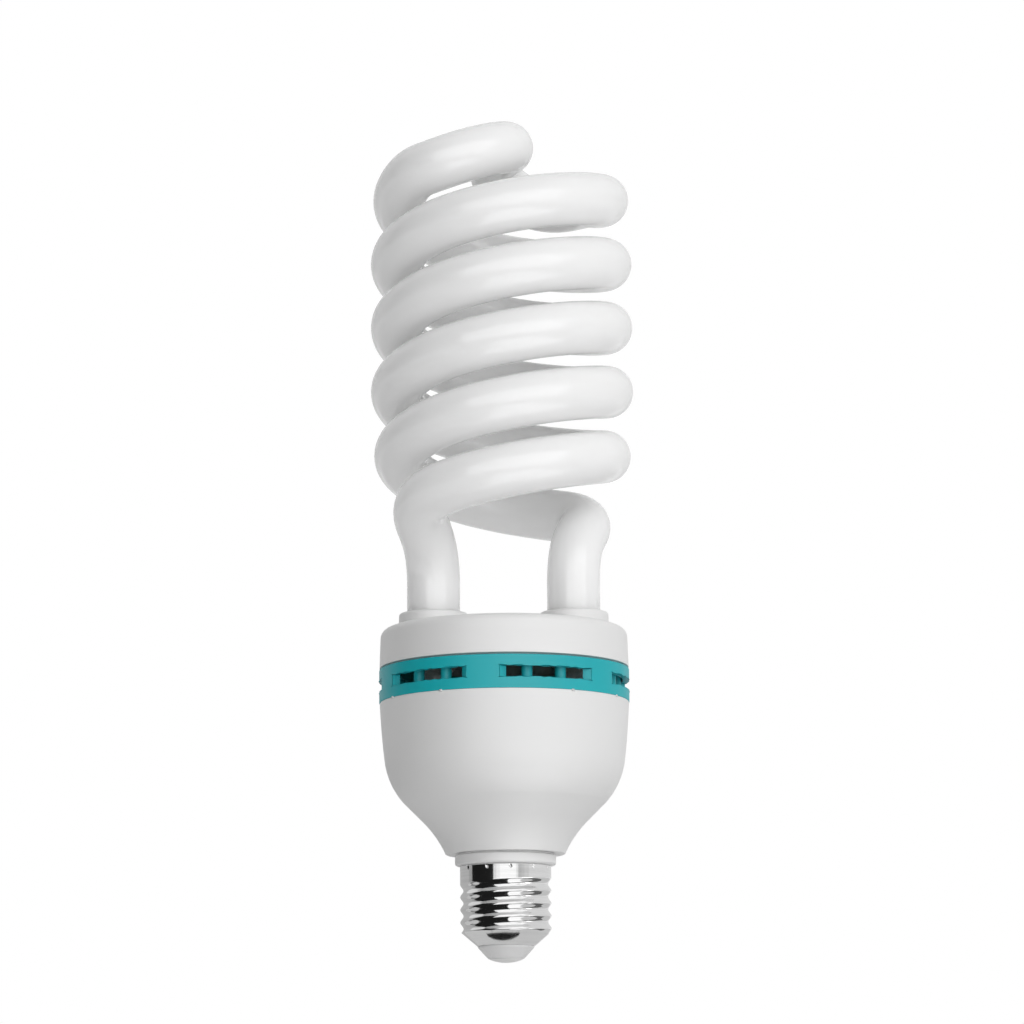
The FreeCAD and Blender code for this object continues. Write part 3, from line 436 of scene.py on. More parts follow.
@functools.cache
def cloudy_patches() -> bpy.types.NodeTree:
    """Slow change over a surface, as a mask from 0 to 1.

    Returns:
        The effect's node tree.
    """
    net, entry, leave = effect("cloudy_patches", {"Scale": 40.0, "Contrast": 0.2},
                               {"Mask": "NodeSocketFloat"})
    noise = net.noise(net.place(), entry.outputs["Scale"], detail=5.0, roughness=0.55)
    low = net.math("SUBTRACT", 0.5, entry.outputs["Contrast"])
    high = net.math("ADD", 0.5, entry.outputs["Contrast"])
    net.send(net.fit(noise, (low, high)), leave.inputs["Mask"])
    return net.tree


@functools.cache
def moulded_grain() -> bpy.types.NodeTree:
    """Fine grain of a spark-eroded mould, as a normal.

    Returns:
        The effect's node tree.
    """
    net, entry, leave = effect("moulded_grain", {"Scale": 4000.0, "Height": 0.000004},
                               {"Normal": "NodeSocketVector"})
    place = net.place()
    grain = net.noise(place, entry.outputs["Scale"], detail=3.0, roughness=0.6)
    wide = net.math("MULTIPLY", entry.outputs["Scale"], SINK_SCALE)
    sink = net.noise(place, wide, detail=2.0)
    height = net.math("ADD", net.math("MULTIPLY", sink, SINK_WEIGHT), grain)
    net.send(net.bump(height, entry.outputs["Height"]), leave.inputs["Normal"])
    return net.tree


@functools.cache
def turning_lines() -> bpy.types.NodeTree:
    """Fine lines around the lamp's axis, as a mask and a normal.

    Returns:
        The effect's node tree.
    """
    net, entry, leave = effect("turning_lines", {"Lines": 3000.0, "Height": 0.000003},
                               {"Mask": "NodeSocketFloat", "Normal": "NodeSocketVector"})
    split = net.add("ShaderNodeSeparateXYZ", {0: net.place()})
    along = net.math("MULTIPLY", split.outputs["Z"], entry.outputs["Lines"])
    wide = [net.math("MULTIPLY", split.outputs[axis], AROUND_SCALE) for axis in ("X", "Y")]
    stretched = net.add("ShaderNodeCombineXYZ", {"X": wide[0], "Y": wide[1], "Z": along})
    noise = net.noise(stretched.outputs[0], 1.0, detail=4.0, roughness=0.7)
    net.send(noise, leave.inputs["Mask"])
    net.send(net.bump(noise, entry.outputs["Height"]), leave.inputs["Normal"])
    return net.tree


@functools.cache
def round_turns() -> bpy.types.NodeTree:
    """Wire turns lying side by side, as a mask across each turn and a normal. The mask is low where
    painted shadow goes between the turns.

    Returns:
        The effect's node tree.
    """
    net, entry, leave = effect("round_turns", {"Along": 0.0, "Turns": 2000.0, "Height": 0.00012},
                               {"Mask": "NodeSocketFloat", "Normal": "NodeSocketVector"})
    phase = net.math("MULTIPLY", entry.outputs["Along"], entry.outputs["Turns"])
    across = net.math("SUBTRACT", net.math("FRACT", phase), 0.5)
    fall = net.math("MULTIPLY", net.math("MULTIPLY", across, across), CROWN_FALL)
    crown = net.math("SQRT", net.math("SUBTRACT", 1.0, fall, clamp=True))
    net.send(crown, leave.inputs["Mask"])
    net.send(net.bump(crown, entry.outputs["Height"]), leave.inputs["Normal"])
    return net.tree


@functools.cache
def handling_marks() -> bpy.types.NodeTree:
    """Faint smudges and dust specks, as a mask from 0 to 1.

    Returns:
        The effect's node tree.
    """
    net, entry, leave = effect("handling_marks", {"Smudge": 90.0, "Speck": 1400.0},
                               {"Mask": "NodeSocketFloat"})
    place = net.place()
    smear = net.noise(place, entry.outputs["Smudge"], detail=6.0, roughness=0.65, distortion=0.8)
    speck = net.add("ShaderNodeTexVoronoi", {"Vector": place, "Scale": entry.outputs["Speck"]})
    dots = net.fit(speck.outputs["Distance"], SPECK_SPAN, (1.0, 0.0))
    rare = net.fit(smear, SMUDGE_SPAN)
    mask = net.math("MAXIMUM", rare, net.math("MULTIPLY", dots, SPECK_WEIGHT))
    net.send(mask, leave.inputs["Mask"])
    return net.tree


# Finishes


@dataclass(frozen=True)
class Moulded:
    """A moulded or cast surface with a cloudy tint and a fine grain.

    Args:
        name: Name of the material.
        slot: Name of a material slot; not used.
        colour: Its main colour.
        shade: The colour that it drifts to in patches, and for wound wire the painted shadow
            between its turns.
        patches: Patches in a metre.
        contrast: How soft the patches' borders are.
        rough: Lowest and highest roughness.
        grain: Grains in a metre.
        relief: Height of the grain in millimetres.
        coat: Weight of a clear gloss on top.
        metal: How metallic it is.
        shine: Strength of its reflections when it isn't metal.
        coat_rough: Roughness of the gloss on top.
        smudges: Smudges for each patch.
    """

    name: str
    slot: str
    colour: Colour
    shade: Colour
    patches: float = 35.0
    contrast: float = 0.22
    rough: Spot = (0.38, 0.48)
    grain: float = 4000.0
    relief: float = 0.004
    coat: float = 0.0
    metal: float = 0.0
    shine: float = 0.5
    coat_rough: float = 0.12
    smudges: float = 2.5

    def tint(self, net: Network) -> bpy.types.NodeSocket:
        """Colour over the surface."""
        mask = net.group(cloudy_patches(), Scale=self.patches, Contrast=self.contrast)
        return net.mix(mask.outputs["Mask"], self.colour, self.shade)

    def gloss(self, net: Network) -> bpy.types.NodeSocket:
        """Roughness over the surface."""
        mask = net.group(handling_marks(), Smudge=self.patches * self.smudges)
        return net.fit(mask.outputs["Mask"], new=self.rough)

    def normal(self, net: Network) -> bpy.types.NodeSocket:
        """Relief over the surface."""
        grain = net.group(moulded_grain(), Scale=self.grain, Height=self.relief * MM)
        return grain.outputs["Normal"]

    def set_constants(self, shader: bpy.types.Node) -> None:
        """Set what is the same all over the surface.

        Args:
            shader: The material's shader.
        """
        shader.inputs["Metallic"].default_value = self.metal
        shader.inputs["Specular IOR Level"].default_value = self.shine
        shader.inputs["Coat Weight"].default_value = self.coat
        shader.inputs["Coat Roughness"].default_value = self.coat_rough

    @functools.cache
    def material(self) -> bpy.types.Material:
        """The material, made once.

        Returns:
            The material.
        """
        made = bpy.data.materials.new(self.name)
        made.use_nodes = True
        net = Network(made.node_tree)
        shader = net.find("BSDF_PRINCIPLED")
        self.set_constants(shader)
        net.send(self.tint(net), shader.inputs["Base Color"])
        net.send(self.gloss(net), shader.inputs["Roughness"])
        net.send(self.normal(net), shader.inputs["Normal"])
        return made

    def dress(self, piece: bpy.types.Object) -> bpy.types.Object:
        """Give a new piece this finish."""
        piece.data.materials.append(self.material())
        return piece

    def dress_node(self, name: str) -> None:
        """Give a node of the frame this finish."""
        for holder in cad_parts[name].material_slots:
            holder.material = self.material()


@dataclass(frozen=True)
class CoatedGlass(Moulded):
    """Clear glass over a white phosphor coat, drawn lengthwise.

    Args:
        wave: Height of the draw lines in millimetres.
        lines: Draw lines in a metre around the tube, and changes of each in a metre along it.
        depth: How far light spreads in the coat, in metres.
    """

    wave: float = 0.014
    lines: Spot = (800.0, 22.0)
    depth: float = 0.01

    def normal(self, net: Network) -> bpy.types.NodeSocket:
        """Faint draw lines along the tube.

        Args:
            net: The material's network.

        Returns:
            The surface's normal.
        """
        run = net.add("ShaderNodeAttribute", attribute_name="run").outputs["Vector"]
        split = net.add("ShaderNodeSeparateXYZ", {0: run})
        around, along = self.lines
        scaled = {axis: net.math("MULTIPLY", split.outputs[axis], lines)
                  for axis, lines in (("X", around), ("Z", around), ("Y", along))}
        place = net.add("ShaderNodeCombineXYZ", scaled)
        noise = net.noise(place.outputs[0], 1.0, detail=3.0, roughness=0.45)
        return net.bump(noise, self.wave * MM)

    def set_constants(self, shader: bpy.types.Node) -> None:
        """Set the glass's gloss and the soft glow of its coat.

        Args:
            shader: The material's shader.
        """
        super().set_constants(shader)
        shader.inputs["IOR"].default_value = 1.5
        shader.inputs["Subsurface Weight"].default_value = 1.0
        shader.inputs["Subsurface Radius"].default_value = (1.0, 1.0, 1.0)
        shader.inputs["Subsurface Scale"].default_value = self.depth


@dataclass(frozen=True)
class RolledMetal(Moulded):
    """Plated sheet metal that was rolled or spun, with fine lines around its axis.

    Args:
        lines: Lines in a metre along the axis.
        colour_lines: Share of the lines that change the colour.
        colour_span: Where the colour's change starts and ends.
        marks: Smudges in a metre.
    """

    lines: float = 2600.0
    colour_lines: float = 0.6
    colour_span: Spot = (0.35, 0.65)
    marks: float = 160.0

    def tint(self, net: Network) -> bpy.types.NodeSocket:
        """Colour that changes from line to line.

        Args:
            net: The material's network.

        Returns:
            The surface's colour.
        """
        lines = net.group(turning_lines(), Lines=self.lines * self.colour_lines)
        share = net.fit(lines.outputs["Mask"], self.colour_span)
        return net.mix(share, self.colour, self.shade)

    def gloss(self, net: Network) -> bpy.types.NodeSocket:
        """Roughness that follows the lines and the smudges.

        Args:
            net: The material's network.

        Returns:
            The surface's roughness.
        """
        lines = net.group(turning_lines(), Lines=self.lines)
        marks = net.group(handling_marks(), Smudge=self.marks)
        halves = [net.math("MULTIPLY", node.outputs["Mask"], 0.5) for node in (lines, marks)]
        return net.fit(net.math("ADD", *halves), new=self.rough)

    def normal(self, net: Network) -> bpy.types.NodeSocket:
        """Relief of the lines."""
        lines = net.group(turning_lines(), Lines=self.lines, Height=self.relief * MM)
        return lines.outputs["Normal"]


@dataclass(frozen=True)
class Wound(Moulded):
    """Enamelled wire wound in turns side by side, with painted shadow between the turns.

    Args:
        along: The axis that it is wound along.
        turns: Turns in a metre.
    """

    along: Along = Along.Z
    turns: float = 2200.0

    def pattern(self, net: Network) -> bpy.types.Node:
        """The shared effect of round turns along this winding's axis."""
        split = net.add("ShaderNodeSeparateXYZ", {0: net.place()})
        return net.group(round_turns(), Along=split.outputs[self.along.value], Turns=self.turns)

    def tint(self, net: Network) -> bpy.types.NodeSocket:
        """Copper on the crown of each turn and painted shadow between the turns."""
        return net.mix(self.pattern(net).outputs["Mask"], self.shade, self.colour)

    def normal(self, net: Network) -> bpy.types.NodeSocket:
        """Relief of the turns."""
        return self.pattern(net).outputs["Normal"]


@dataclass(frozen=True)
class Woven(Moulded):
    """Braided glass fibre in two crossing directions.

    Args:
        scale: Scale of the threads' waves.
        lean: How far the threads lean from the axis, in radians.
        thickness: Height of a thread in millimetres.
    """

    scale: float = 253.97
    lean: float = 0.7
    thickness: float = 0.08

    def normal(self, net: Network) -> bpy.types.NodeSocket:
        """Relief of the crossing threads.

        Args:
            net: The material's network.

        Returns:
            The surface's normal.
        """
        place = net.place()
        waves = []
        for turn in (self.lean, -self.lean):
            turned = net.add("ShaderNodeMapping", {"Vector": place, "Rotation": (0.0, 0.0, turn)})
            wave = net.add("ShaderNodeTexWave", {"Vector": turned.outputs[0], "Scale": self.scale})
            waves.append(wave.outputs["Fac"])
        return net.bump(net.math("MAXIMUM", *waves), self.thickness * MM)


COATED_GLASS = CoatedGlass("coated_glass", "coated_glass", (0.955, 0.955, 0.953),
                           (0.94, 0.94, 0.938), patches=25.0, rough=(0.12, 0.17))
WHITE_PLASTIC = Moulded("white_plastic", "white_plastic", (0.83, 0.83, 0.828), (0.81, 0.81, 0.808),
                        patches=22.0, rough=(0.42, 0.52), relief=0.003)
TEAL_PLASTIC = Moulded("teal_plastic", "teal_plastic", (0.006, 0.44, 0.488), (0.005, 0.41, 0.456),
                       patches=40.0, rough=(0.4, 0.5), relief=0.004, shine=0.3)
SHELL_METAL = RolledMetal("shell_metal", "shell_metal", (0.89, 0.89, 0.89), (0.8, 0.8, 0.8),
                          rough=(0.07, 0.14), relief=0.004, metal=1.0)
INSULATOR = Moulded("insulator", "insulator", (0.8, 0.8, 0.802), (0.76, 0.76, 0.762),
                    patches=150.0, rough=(0.18, 0.3), relief=0.002, coat=0.4)
CONTACT_METAL = RolledMetal("contact_metal", "contact_metal", (0.86, 0.86, 0.858),
                            (0.82, 0.82, 0.815), rough=(0.5, 0.62), relief=0.001, metal=1.0)
CEMENT = Moulded("cement", "cement", (0.78, 0.78, 0.75), (0.7, 0.69, 0.65), patches=200.0,
                 rough=(0.45, 0.7), grain=900.0, relief=0.05)
BOARD = Moulded("board_laminate", "board", (0.42, 0.33, 0.13), (0.3, 0.24, 0.1), patches=60.0,
                rough=(0.35, 0.6), grain=1800.0, relief=0.02)
CAN_SLEEVE = Moulded("capacitor_sleeve", "capacitor_sleeve", (0.012, 0.016, 0.03),
                     (0.02, 0.024, 0.04), patches=90.0, rough=(0.2, 0.35), relief=0.003)
FERRITE = Moulded("ferrite", "ferrite", (0.025, 0.025, 0.027), (0.05, 0.05, 0.052), patches=500.0,
                  rough=(0.55, 0.8), grain=2500.0, relief=0.03)
BOBBIN = Moulded("bobbin", "bobbin", (0.6, 0.55, 0.42), (0.5, 0.46, 0.34), patches=180.0)
# Copper wire: its second colour is painted shadow between the turns, not a colour of the copper.
COPPER = Wound("copper", "copper", (0.62, 0.2, 0.07), (0.1, 0.02, 0.01), rough=(0.18, 0.3),
               metal=0.8)
DRIVE_COPPER = Wound("drive_copper", "copper", (0.62, 0.2, 0.07), (0.1, 0.02, 0.01),
                     rough=(0.18, 0.3), metal=0.8, along=Along.Y, turns=1100.0)
FILM_COATING = Moulded("film_coating", "film_coating", (0.45, 0.05, 0.015), (0.32, 0.03, 0.01),
                       patches=160.0, rough=(0.12, 0.25), grain=700.0, relief=0.03, coat=0.5)
COMPOUND = Moulded("moulding_compound", "moulding_compound", (0.012, 0.012, 0.013),
                   (0.02, 0.02, 0.02), patches=300.0, rough=(0.5, 0.65), relief=0.01)
ENAMEL = Moulded("resistor_enamel", "resistor_enamel", (0.22, 0.38, 0.42), (0.18, 0.32, 0.36),
                 patches=260.0, rough=(0.3, 0.45), relief=0.01)
SLEEVE = Woven("woven_sleeve", "sleeve", (0.75, 0.7, 0.55), (0.66, 0.61, 0.46), patches=300.0,
               rough=(0.6, 0.8))
TINNED = Moulded("tinned_metal", "tinned_metal", (0.72, 0.71, 0.68), (0.6, 0.59, 0.56),
                 patches=500.0, rough=(0.25, 0.45), grain=1500.0, relief=0.006, metal=1.0)
LIVE = Moulded("live_insulation", "live_insulation", (0.35, 0.02, 0.015), (0.28, 0.015, 0.01),
               patches=200.0, rough=(0.3, 0.4))
NEUTRAL = Moulded("neutral_insulation", "neutral_insulation", (0.02, 0.035, 0.28),
                  (0.015, 0.03, 0.22), patches=200.0, rough=(0.3, 0.4))


# The lamp's parts


@dataclass
class SpiralTube:
    """The discharge tube: two legs, a double helix and an S-shaped bridge at the top.

    The coil starts and ends at angles in degrees. Its ends are drawn in by an inset over a span of
    degrees, and a bend is how late and how steeply one half of the bridge rises. Each row of the
    seal says how far below the round tube it is, and its share of the tube's two widths.
    """

    radius: float = 7.75
    coil_radius: float = 30.96
    pitch: float = 38.75
    coil_base: float = 109.2
    coil_start: float = 230.6
    coil_end: float = 1110.0
    leg_offset: float = 20.5
    leg_top: float = 111.1
    leg_bottom: float = 87.0
    bridge_rise: float = 12.08
    front_bend: Spot = (1.0, 0.3)
    back_bend: Spot = (1.6, 0.0)
    end_lift: float = 0.8
    lift_span: float = 60.0
    start_inset: float = 1.6
    start_span: float = 300.0
    end_inset: float = 0.9
    end_span: float = 110.0
    coil_span: float = 60.0
    bridge_spans: int = 4
    segments: int = 56
    step: float = 1.7
    easing: Spot = (0.5, -0.52)
    easings: int = 25
    straight: float = 1e-6
    parallel: float = 1e-9
    seal: tuple[Place, ...] = (
        (0.8, 0.97, 0.94), (1.6, 0.87, 0.8), (2.4, 0.7, 0.5), (3.0, 0.55, 0.26),
        (3.6, 0.52, 0.21), (8.0, 0.52, 0.21), (8.0, 0.0, 0.0))

    def helix_point(self, angle: float) -> tuple[Floats, Floats]:
        """Point and direction of a strand, turned so that it starts on the left.

        Args:
            angle: The angle round the lamp's axis in degrees.

        Returns:
            The point and the direction there.
        """
        turn, radius = math.radians(angle), self.radius_at(angle)
        swell = (self.radius_at(angle + 1) - self.radius_at(angle - 1)) / math.radians(2)
        cosine, sine = math.cos(turn), math.sin(turn)
        late = max(1 - (self.coil_end - angle) / self.lift_span, 0)
        height = self.coil_base + self.pitch * angle / 360 + self.end_lift * late * late
        point = np.array([radius * cosine, radius * sine, height])
        climb = self.pitch / (2 * math.pi) + self.end_lift * 2 * late / math.radians(self.lift_span)
        way = np.array([swell * cosine - radius * sine, swell * sine + radius * cosine, climb])
        return point, way / np.linalg.norm(way)

    def radius_at(self, angle: float) -> float:
        """Radius of the coil, which is a little tighter at both of its ends.

        Args:
            angle: The angle round the lamp's axis in degrees.

        Returns:
            The radius there.
        """
        start = min(max(1 - (angle - self.coil_start) / self.start_span, 0), 1)
        end = min(max(1 - (self.coil_end - angle) / self.end_span, 0), 1)
        return self.coil_radius - self.start_inset * smooth(start) - self.end_inset * smooth(end)

    def bridge_point(self, share: float, bend: Spot) -> tuple[Floats, Floats]:
        """Point and direction on the half circle from the coil to the axis.

        Args:
            share: How far along it the point is, from 0 to 1.
            bend: How late it rises, and how steeply it leaves the coil.

        Returns:
            The point and the direction there.
        """
        end, half = math.radians(self.coil_end), self.radius_at(self.coil_end) / 2
        angle, left, late = end + math.pi * share, 1 - share, share ** bend[0]
        low, rise = self.helix_point(self.coil_end)[0][2], self.bridge_rise - self.end_lift
        height = low + rise * (smooth(late) + bend[1] * share * left * left)
        steep = 6 * late * (1 - late) * bend[0] * share ** (bend[0] - 1)
        climb = rise * (steep + bend[1] * left * (1 - 3 * share)) / (math.pi * half)
        point = np.array([half * (math.cos(end) + math.cos(angle)),
                          half * (math.sin(end) + math.sin(angle)), height])
        way = np.array([-math.sin(angle), math.cos(angle), climb])
        return point, way / np.linalg.norm(way)

    def strand(self, bend: Spot) -> list[tuple[Floats, Floats]]:
        """Points and directions from the foot of the left leg to the middle of the bridge.

        Args:
            bend: How its half of the bridge rises.

        Returns:
            Each point with the direction there.
        """
        up = np.array([0.0, 0.0, 1.0])
        way = [(np.array([-self.leg_offset, 0.0, height]), up)
               for height in (self.leg_bottom, self.leg_top)]
        spans = round((self.coil_end - self.coil_start) / self.coil_span)
        way += [self.helix_point(angle)
                for angle in np.linspace(self.coil_start, self.coil_end, spans + 1)]
        return way + [self.bridge_point(step / self.bridge_spans, bend)
                      for step in range(1, self.bridge_spans + 1)]

    def waypoints(self) -> list[tuple[Floats, Floats]]:
        """Points and directions from the foot of one leg over the bridge to the other foot.

        Returns:
            Each point with the direction there.
        """
        half_turn, back = np.array([-1.0, -1.0, 1.0]), np.array([1.0, 1.0, -1.0])
        front = [(point * half_turn, way * back)
                 for point, way in reversed(self.strand(self.front_bend))]
        return self.strand(self.back_bend) + front[1:]

    def run(self, start: Floats, way: Floats, end: Floats) -> list[Floats]:
        """Points along the arc or line that leaves a point in a direction and reaches another.

        Args:
            start: Where it starts.
            way: Its direction there.
            end: Where it ends.

        Returns:
            The points, with the start and without the end.
        """
        chord = end - start
        length = float(np.linalg.norm(chord))
        inward = chord - way * (chord @ way)
        size = np.linalg.norm(inward)
        count = max(1, round(length / self.step))
        if size < self.straight:
            return [start + chord * k / count for k in range(count)]
        inward = inward / size
        bend = float(chord @ chord / (2 * (chord @ inward)))
        sweep = 2 * math.asin(min(length / (2 * bend), 1))
        angles = [sweep * k / count for k in range(count)]
        return [start + inward * bend * (1 - math.cos(angle)) + way * bend * math.sin(angle)
                for angle in angles]

    def centre_line(self) -> Floats:
        """Evenly spaced points of the tube's centre line, with its bends eased.

        Returns:
            The points in order.
        """
        points: list[Floats] = []
        route = self.waypoints()
        for (start, start_way), (end, end_way) in zip(route, route[1:]):
            across, both, bend = end - start, start_way + end_way, 1 - start_way @ end_way
            if bend < self.parallel:
                points += self.run(start, start_way, end)
                continue
            reach = across @ both
            length = (math.sqrt(reach * reach + 2 * bend * (across @ across)) - reach) / (2 * bend)
            first, second = start + start_way * length, end - end_way * length
            middle = (first + second) / 2
            points += self.run(start, start_way, middle)
            points += self.run(middle, (second - first) / np.linalg.norm(second - first), end)
        line = np.array([*points, route[-1][0]])
        for share in self.easing * self.easings:
            line[1:-1] += share * ((line[:-2] + line[2:]) / 2 - line[1:-1])
        return line

    def rings(self) -> tuple[Floats, Floats]:
        """Rings of points around the centre line, and their places along and around the tube.

        Returns:
            The rings' points, and the place of each point around and along.
        """
        line = self.centre_line()
        ways = np.gradient(line, axis=0)
        ways /= np.linalg.norm(ways, axis=1)[:, None]
        side = np.array([1.0, 0.0, 0.0])
        turns = np.linspace(0, 2 * math.pi, self.segments, endpoint=False)
        circle = np.stack([np.cos(turns), np.sin(turns)], axis=-1)
        rows, runs, distance = [], [], 0.0
        for index, (point, way) in enumerate(zip(line, ways)):
            side = side - way * (side @ way)
            side /= np.linalg.norm(side)
            up = np.cross(way, side)
            rows.append(point + self.radius * (circle[:, :1] * side + circle[:, 1:] * up))
            distance += float(np.linalg.norm(point - line[max(index - 1, 0)]))
            runs.append(np.column_stack([circle[:, 0], np.full(self.segments, distance),
                                         circle[:, 1]]))
        first, last = (self.foot(rows[end], line[end]) for end in (0, -1))
        spare = len(self.seal)
        return (np.array([*reversed(first), *rows, *last]),
                np.array([runs[0]] * spare + runs + [runs[-1]] * spare))

    def foot(self, ring: Floats, centre: Floats) -> list[Floats]:
        """Rings that draw in the end of a leg and press it flat."""
        return [centre + (ring - centre) * np.array([wide, thin, 0]) - np.array([0, 0, drop])
                for drop, wide, thin in self.seal]

    def build(self) -> list[bpy.types.Object]:
        """Make and dress the tube.

        Returns:
            The dressed piece, in a list.
        """
        form = Form()
        rows, runs = self.rings()
        form.surface(rows)
        tube = form.piece("glass_tube", "spiral_tube")
        self.mark_runs(tube, rows, runs)
        return [COATED_GLASS.dress(tube)]

    def mark_runs(self, tube: bpy.types.Object, rows: Floats, runs: Floats) -> None:
        """Store on each vertex its place around and along the tube, in metres.

        Args:
            tube: The tube's piece.
            rows: Its rings of points.
            runs: Place around and along the tube of each of them.
        """
        known = {tuple(np.round(point * MM, PLACE_DIGITS)): place
                 for point, place in zip(rows.reshape(-1, 3), runs.reshape(-1, 3))}
        scale = np.array([self.radius, 1.0, self.radius]) * MM
        layer = tube.data.attributes.new("run", "FLOAT_VECTOR", "POINT")
        for index, vertex in enumerate(tube.data.vertices):
            place = known.get(tuple(np.round(np.array(vertex.co), PLACE_DIGITS)))
            if place is not None:
                layer.data[index].vector = place * scale


@dataclass
class TubeCap:
    """The white cap with its two collars for the legs.

    A collar's foot is its extra width, its height and its rounding, and its rim has an outer and
    an inner rounding.
    """

    seat: float = 84.6
    gap: float = 0.55
    radius: float = 36.3
    land: float = 1.3
    draft: float = 0.3
    corner: float = 2.6
    top: float = 96.6
    wall: float = 2.0
    leg_offset: float = 20.5
    collar_radius: float = 10.1
    collar_height: float = 4.9
    bore: float = 8.05
    edge_round: float = 0.15
    wall_round: float = 0.6
    collar_sink: float = 0.3
    collar_depth: float = 7.0
    collar_step: float = 0.6
    collar_foot: Place = (0.9, 0.6, 0.8)
    collar_draft: float = 0.05
    collar_round: Spot = (0.9, 0.3)

    def build(self) -> list[bpy.types.Object]:
        """Make and dress the cap.

        Returns:
            The dressed piece, in a list.
        """
        form = Form()
        inside, shoulder = self.radius - self.wall, self.radius - self.draft
        form.turned([
            Corner(inside, self.seat), Corner(self.radius - self.land, self.seat),
            Corner(self.radius - self.land, self.seat + self.gap),
            Corner(self.radius, self.seat + self.gap, self.edge_round),
            Corner(shoulder, self.top - self.corner, curve=self.corner),
            Corner(shoulder - self.corner, self.top), Corner(0, self.top),
            Corner(0, self.top - self.wall),
            Corner(inside - self.corner, self.top - self.wall, self.wall_round),
            Corner(inside, self.top - self.wall - self.corner, self.wall_round)])
        for side in Side:
            self.add_collar(form, side)
        return [WHITE_PLASTIC.dress(form.piece("cap_cover", "tube_cap"))]

    def add_collar(self, form: Form, side: Side) -> None:
        """Add the collar of one leg, with a soft foot and a rounded rim.

        Args:
            form: The cap's form.
            side: The leg's side.
        """
        outer, high = self.collar_radius, self.top + self.collar_height
        low = self.top - self.collar_sink
        wide, rise, soft = self.collar_foot
        form.turned([
            Corner(self.bore, low - self.collar_depth),
            Corner(outer - self.collar_step, low - self.collar_depth), Corner(outer + wide, low),
            Corner(outer + self.collar_draft, self.top + rise, soft),
            Corner(outer, high, self.collar_round[0]),
            Corner(self.bore, high, self.collar_round[1])],
            segments=112, x=self.leg_offset * side.value)


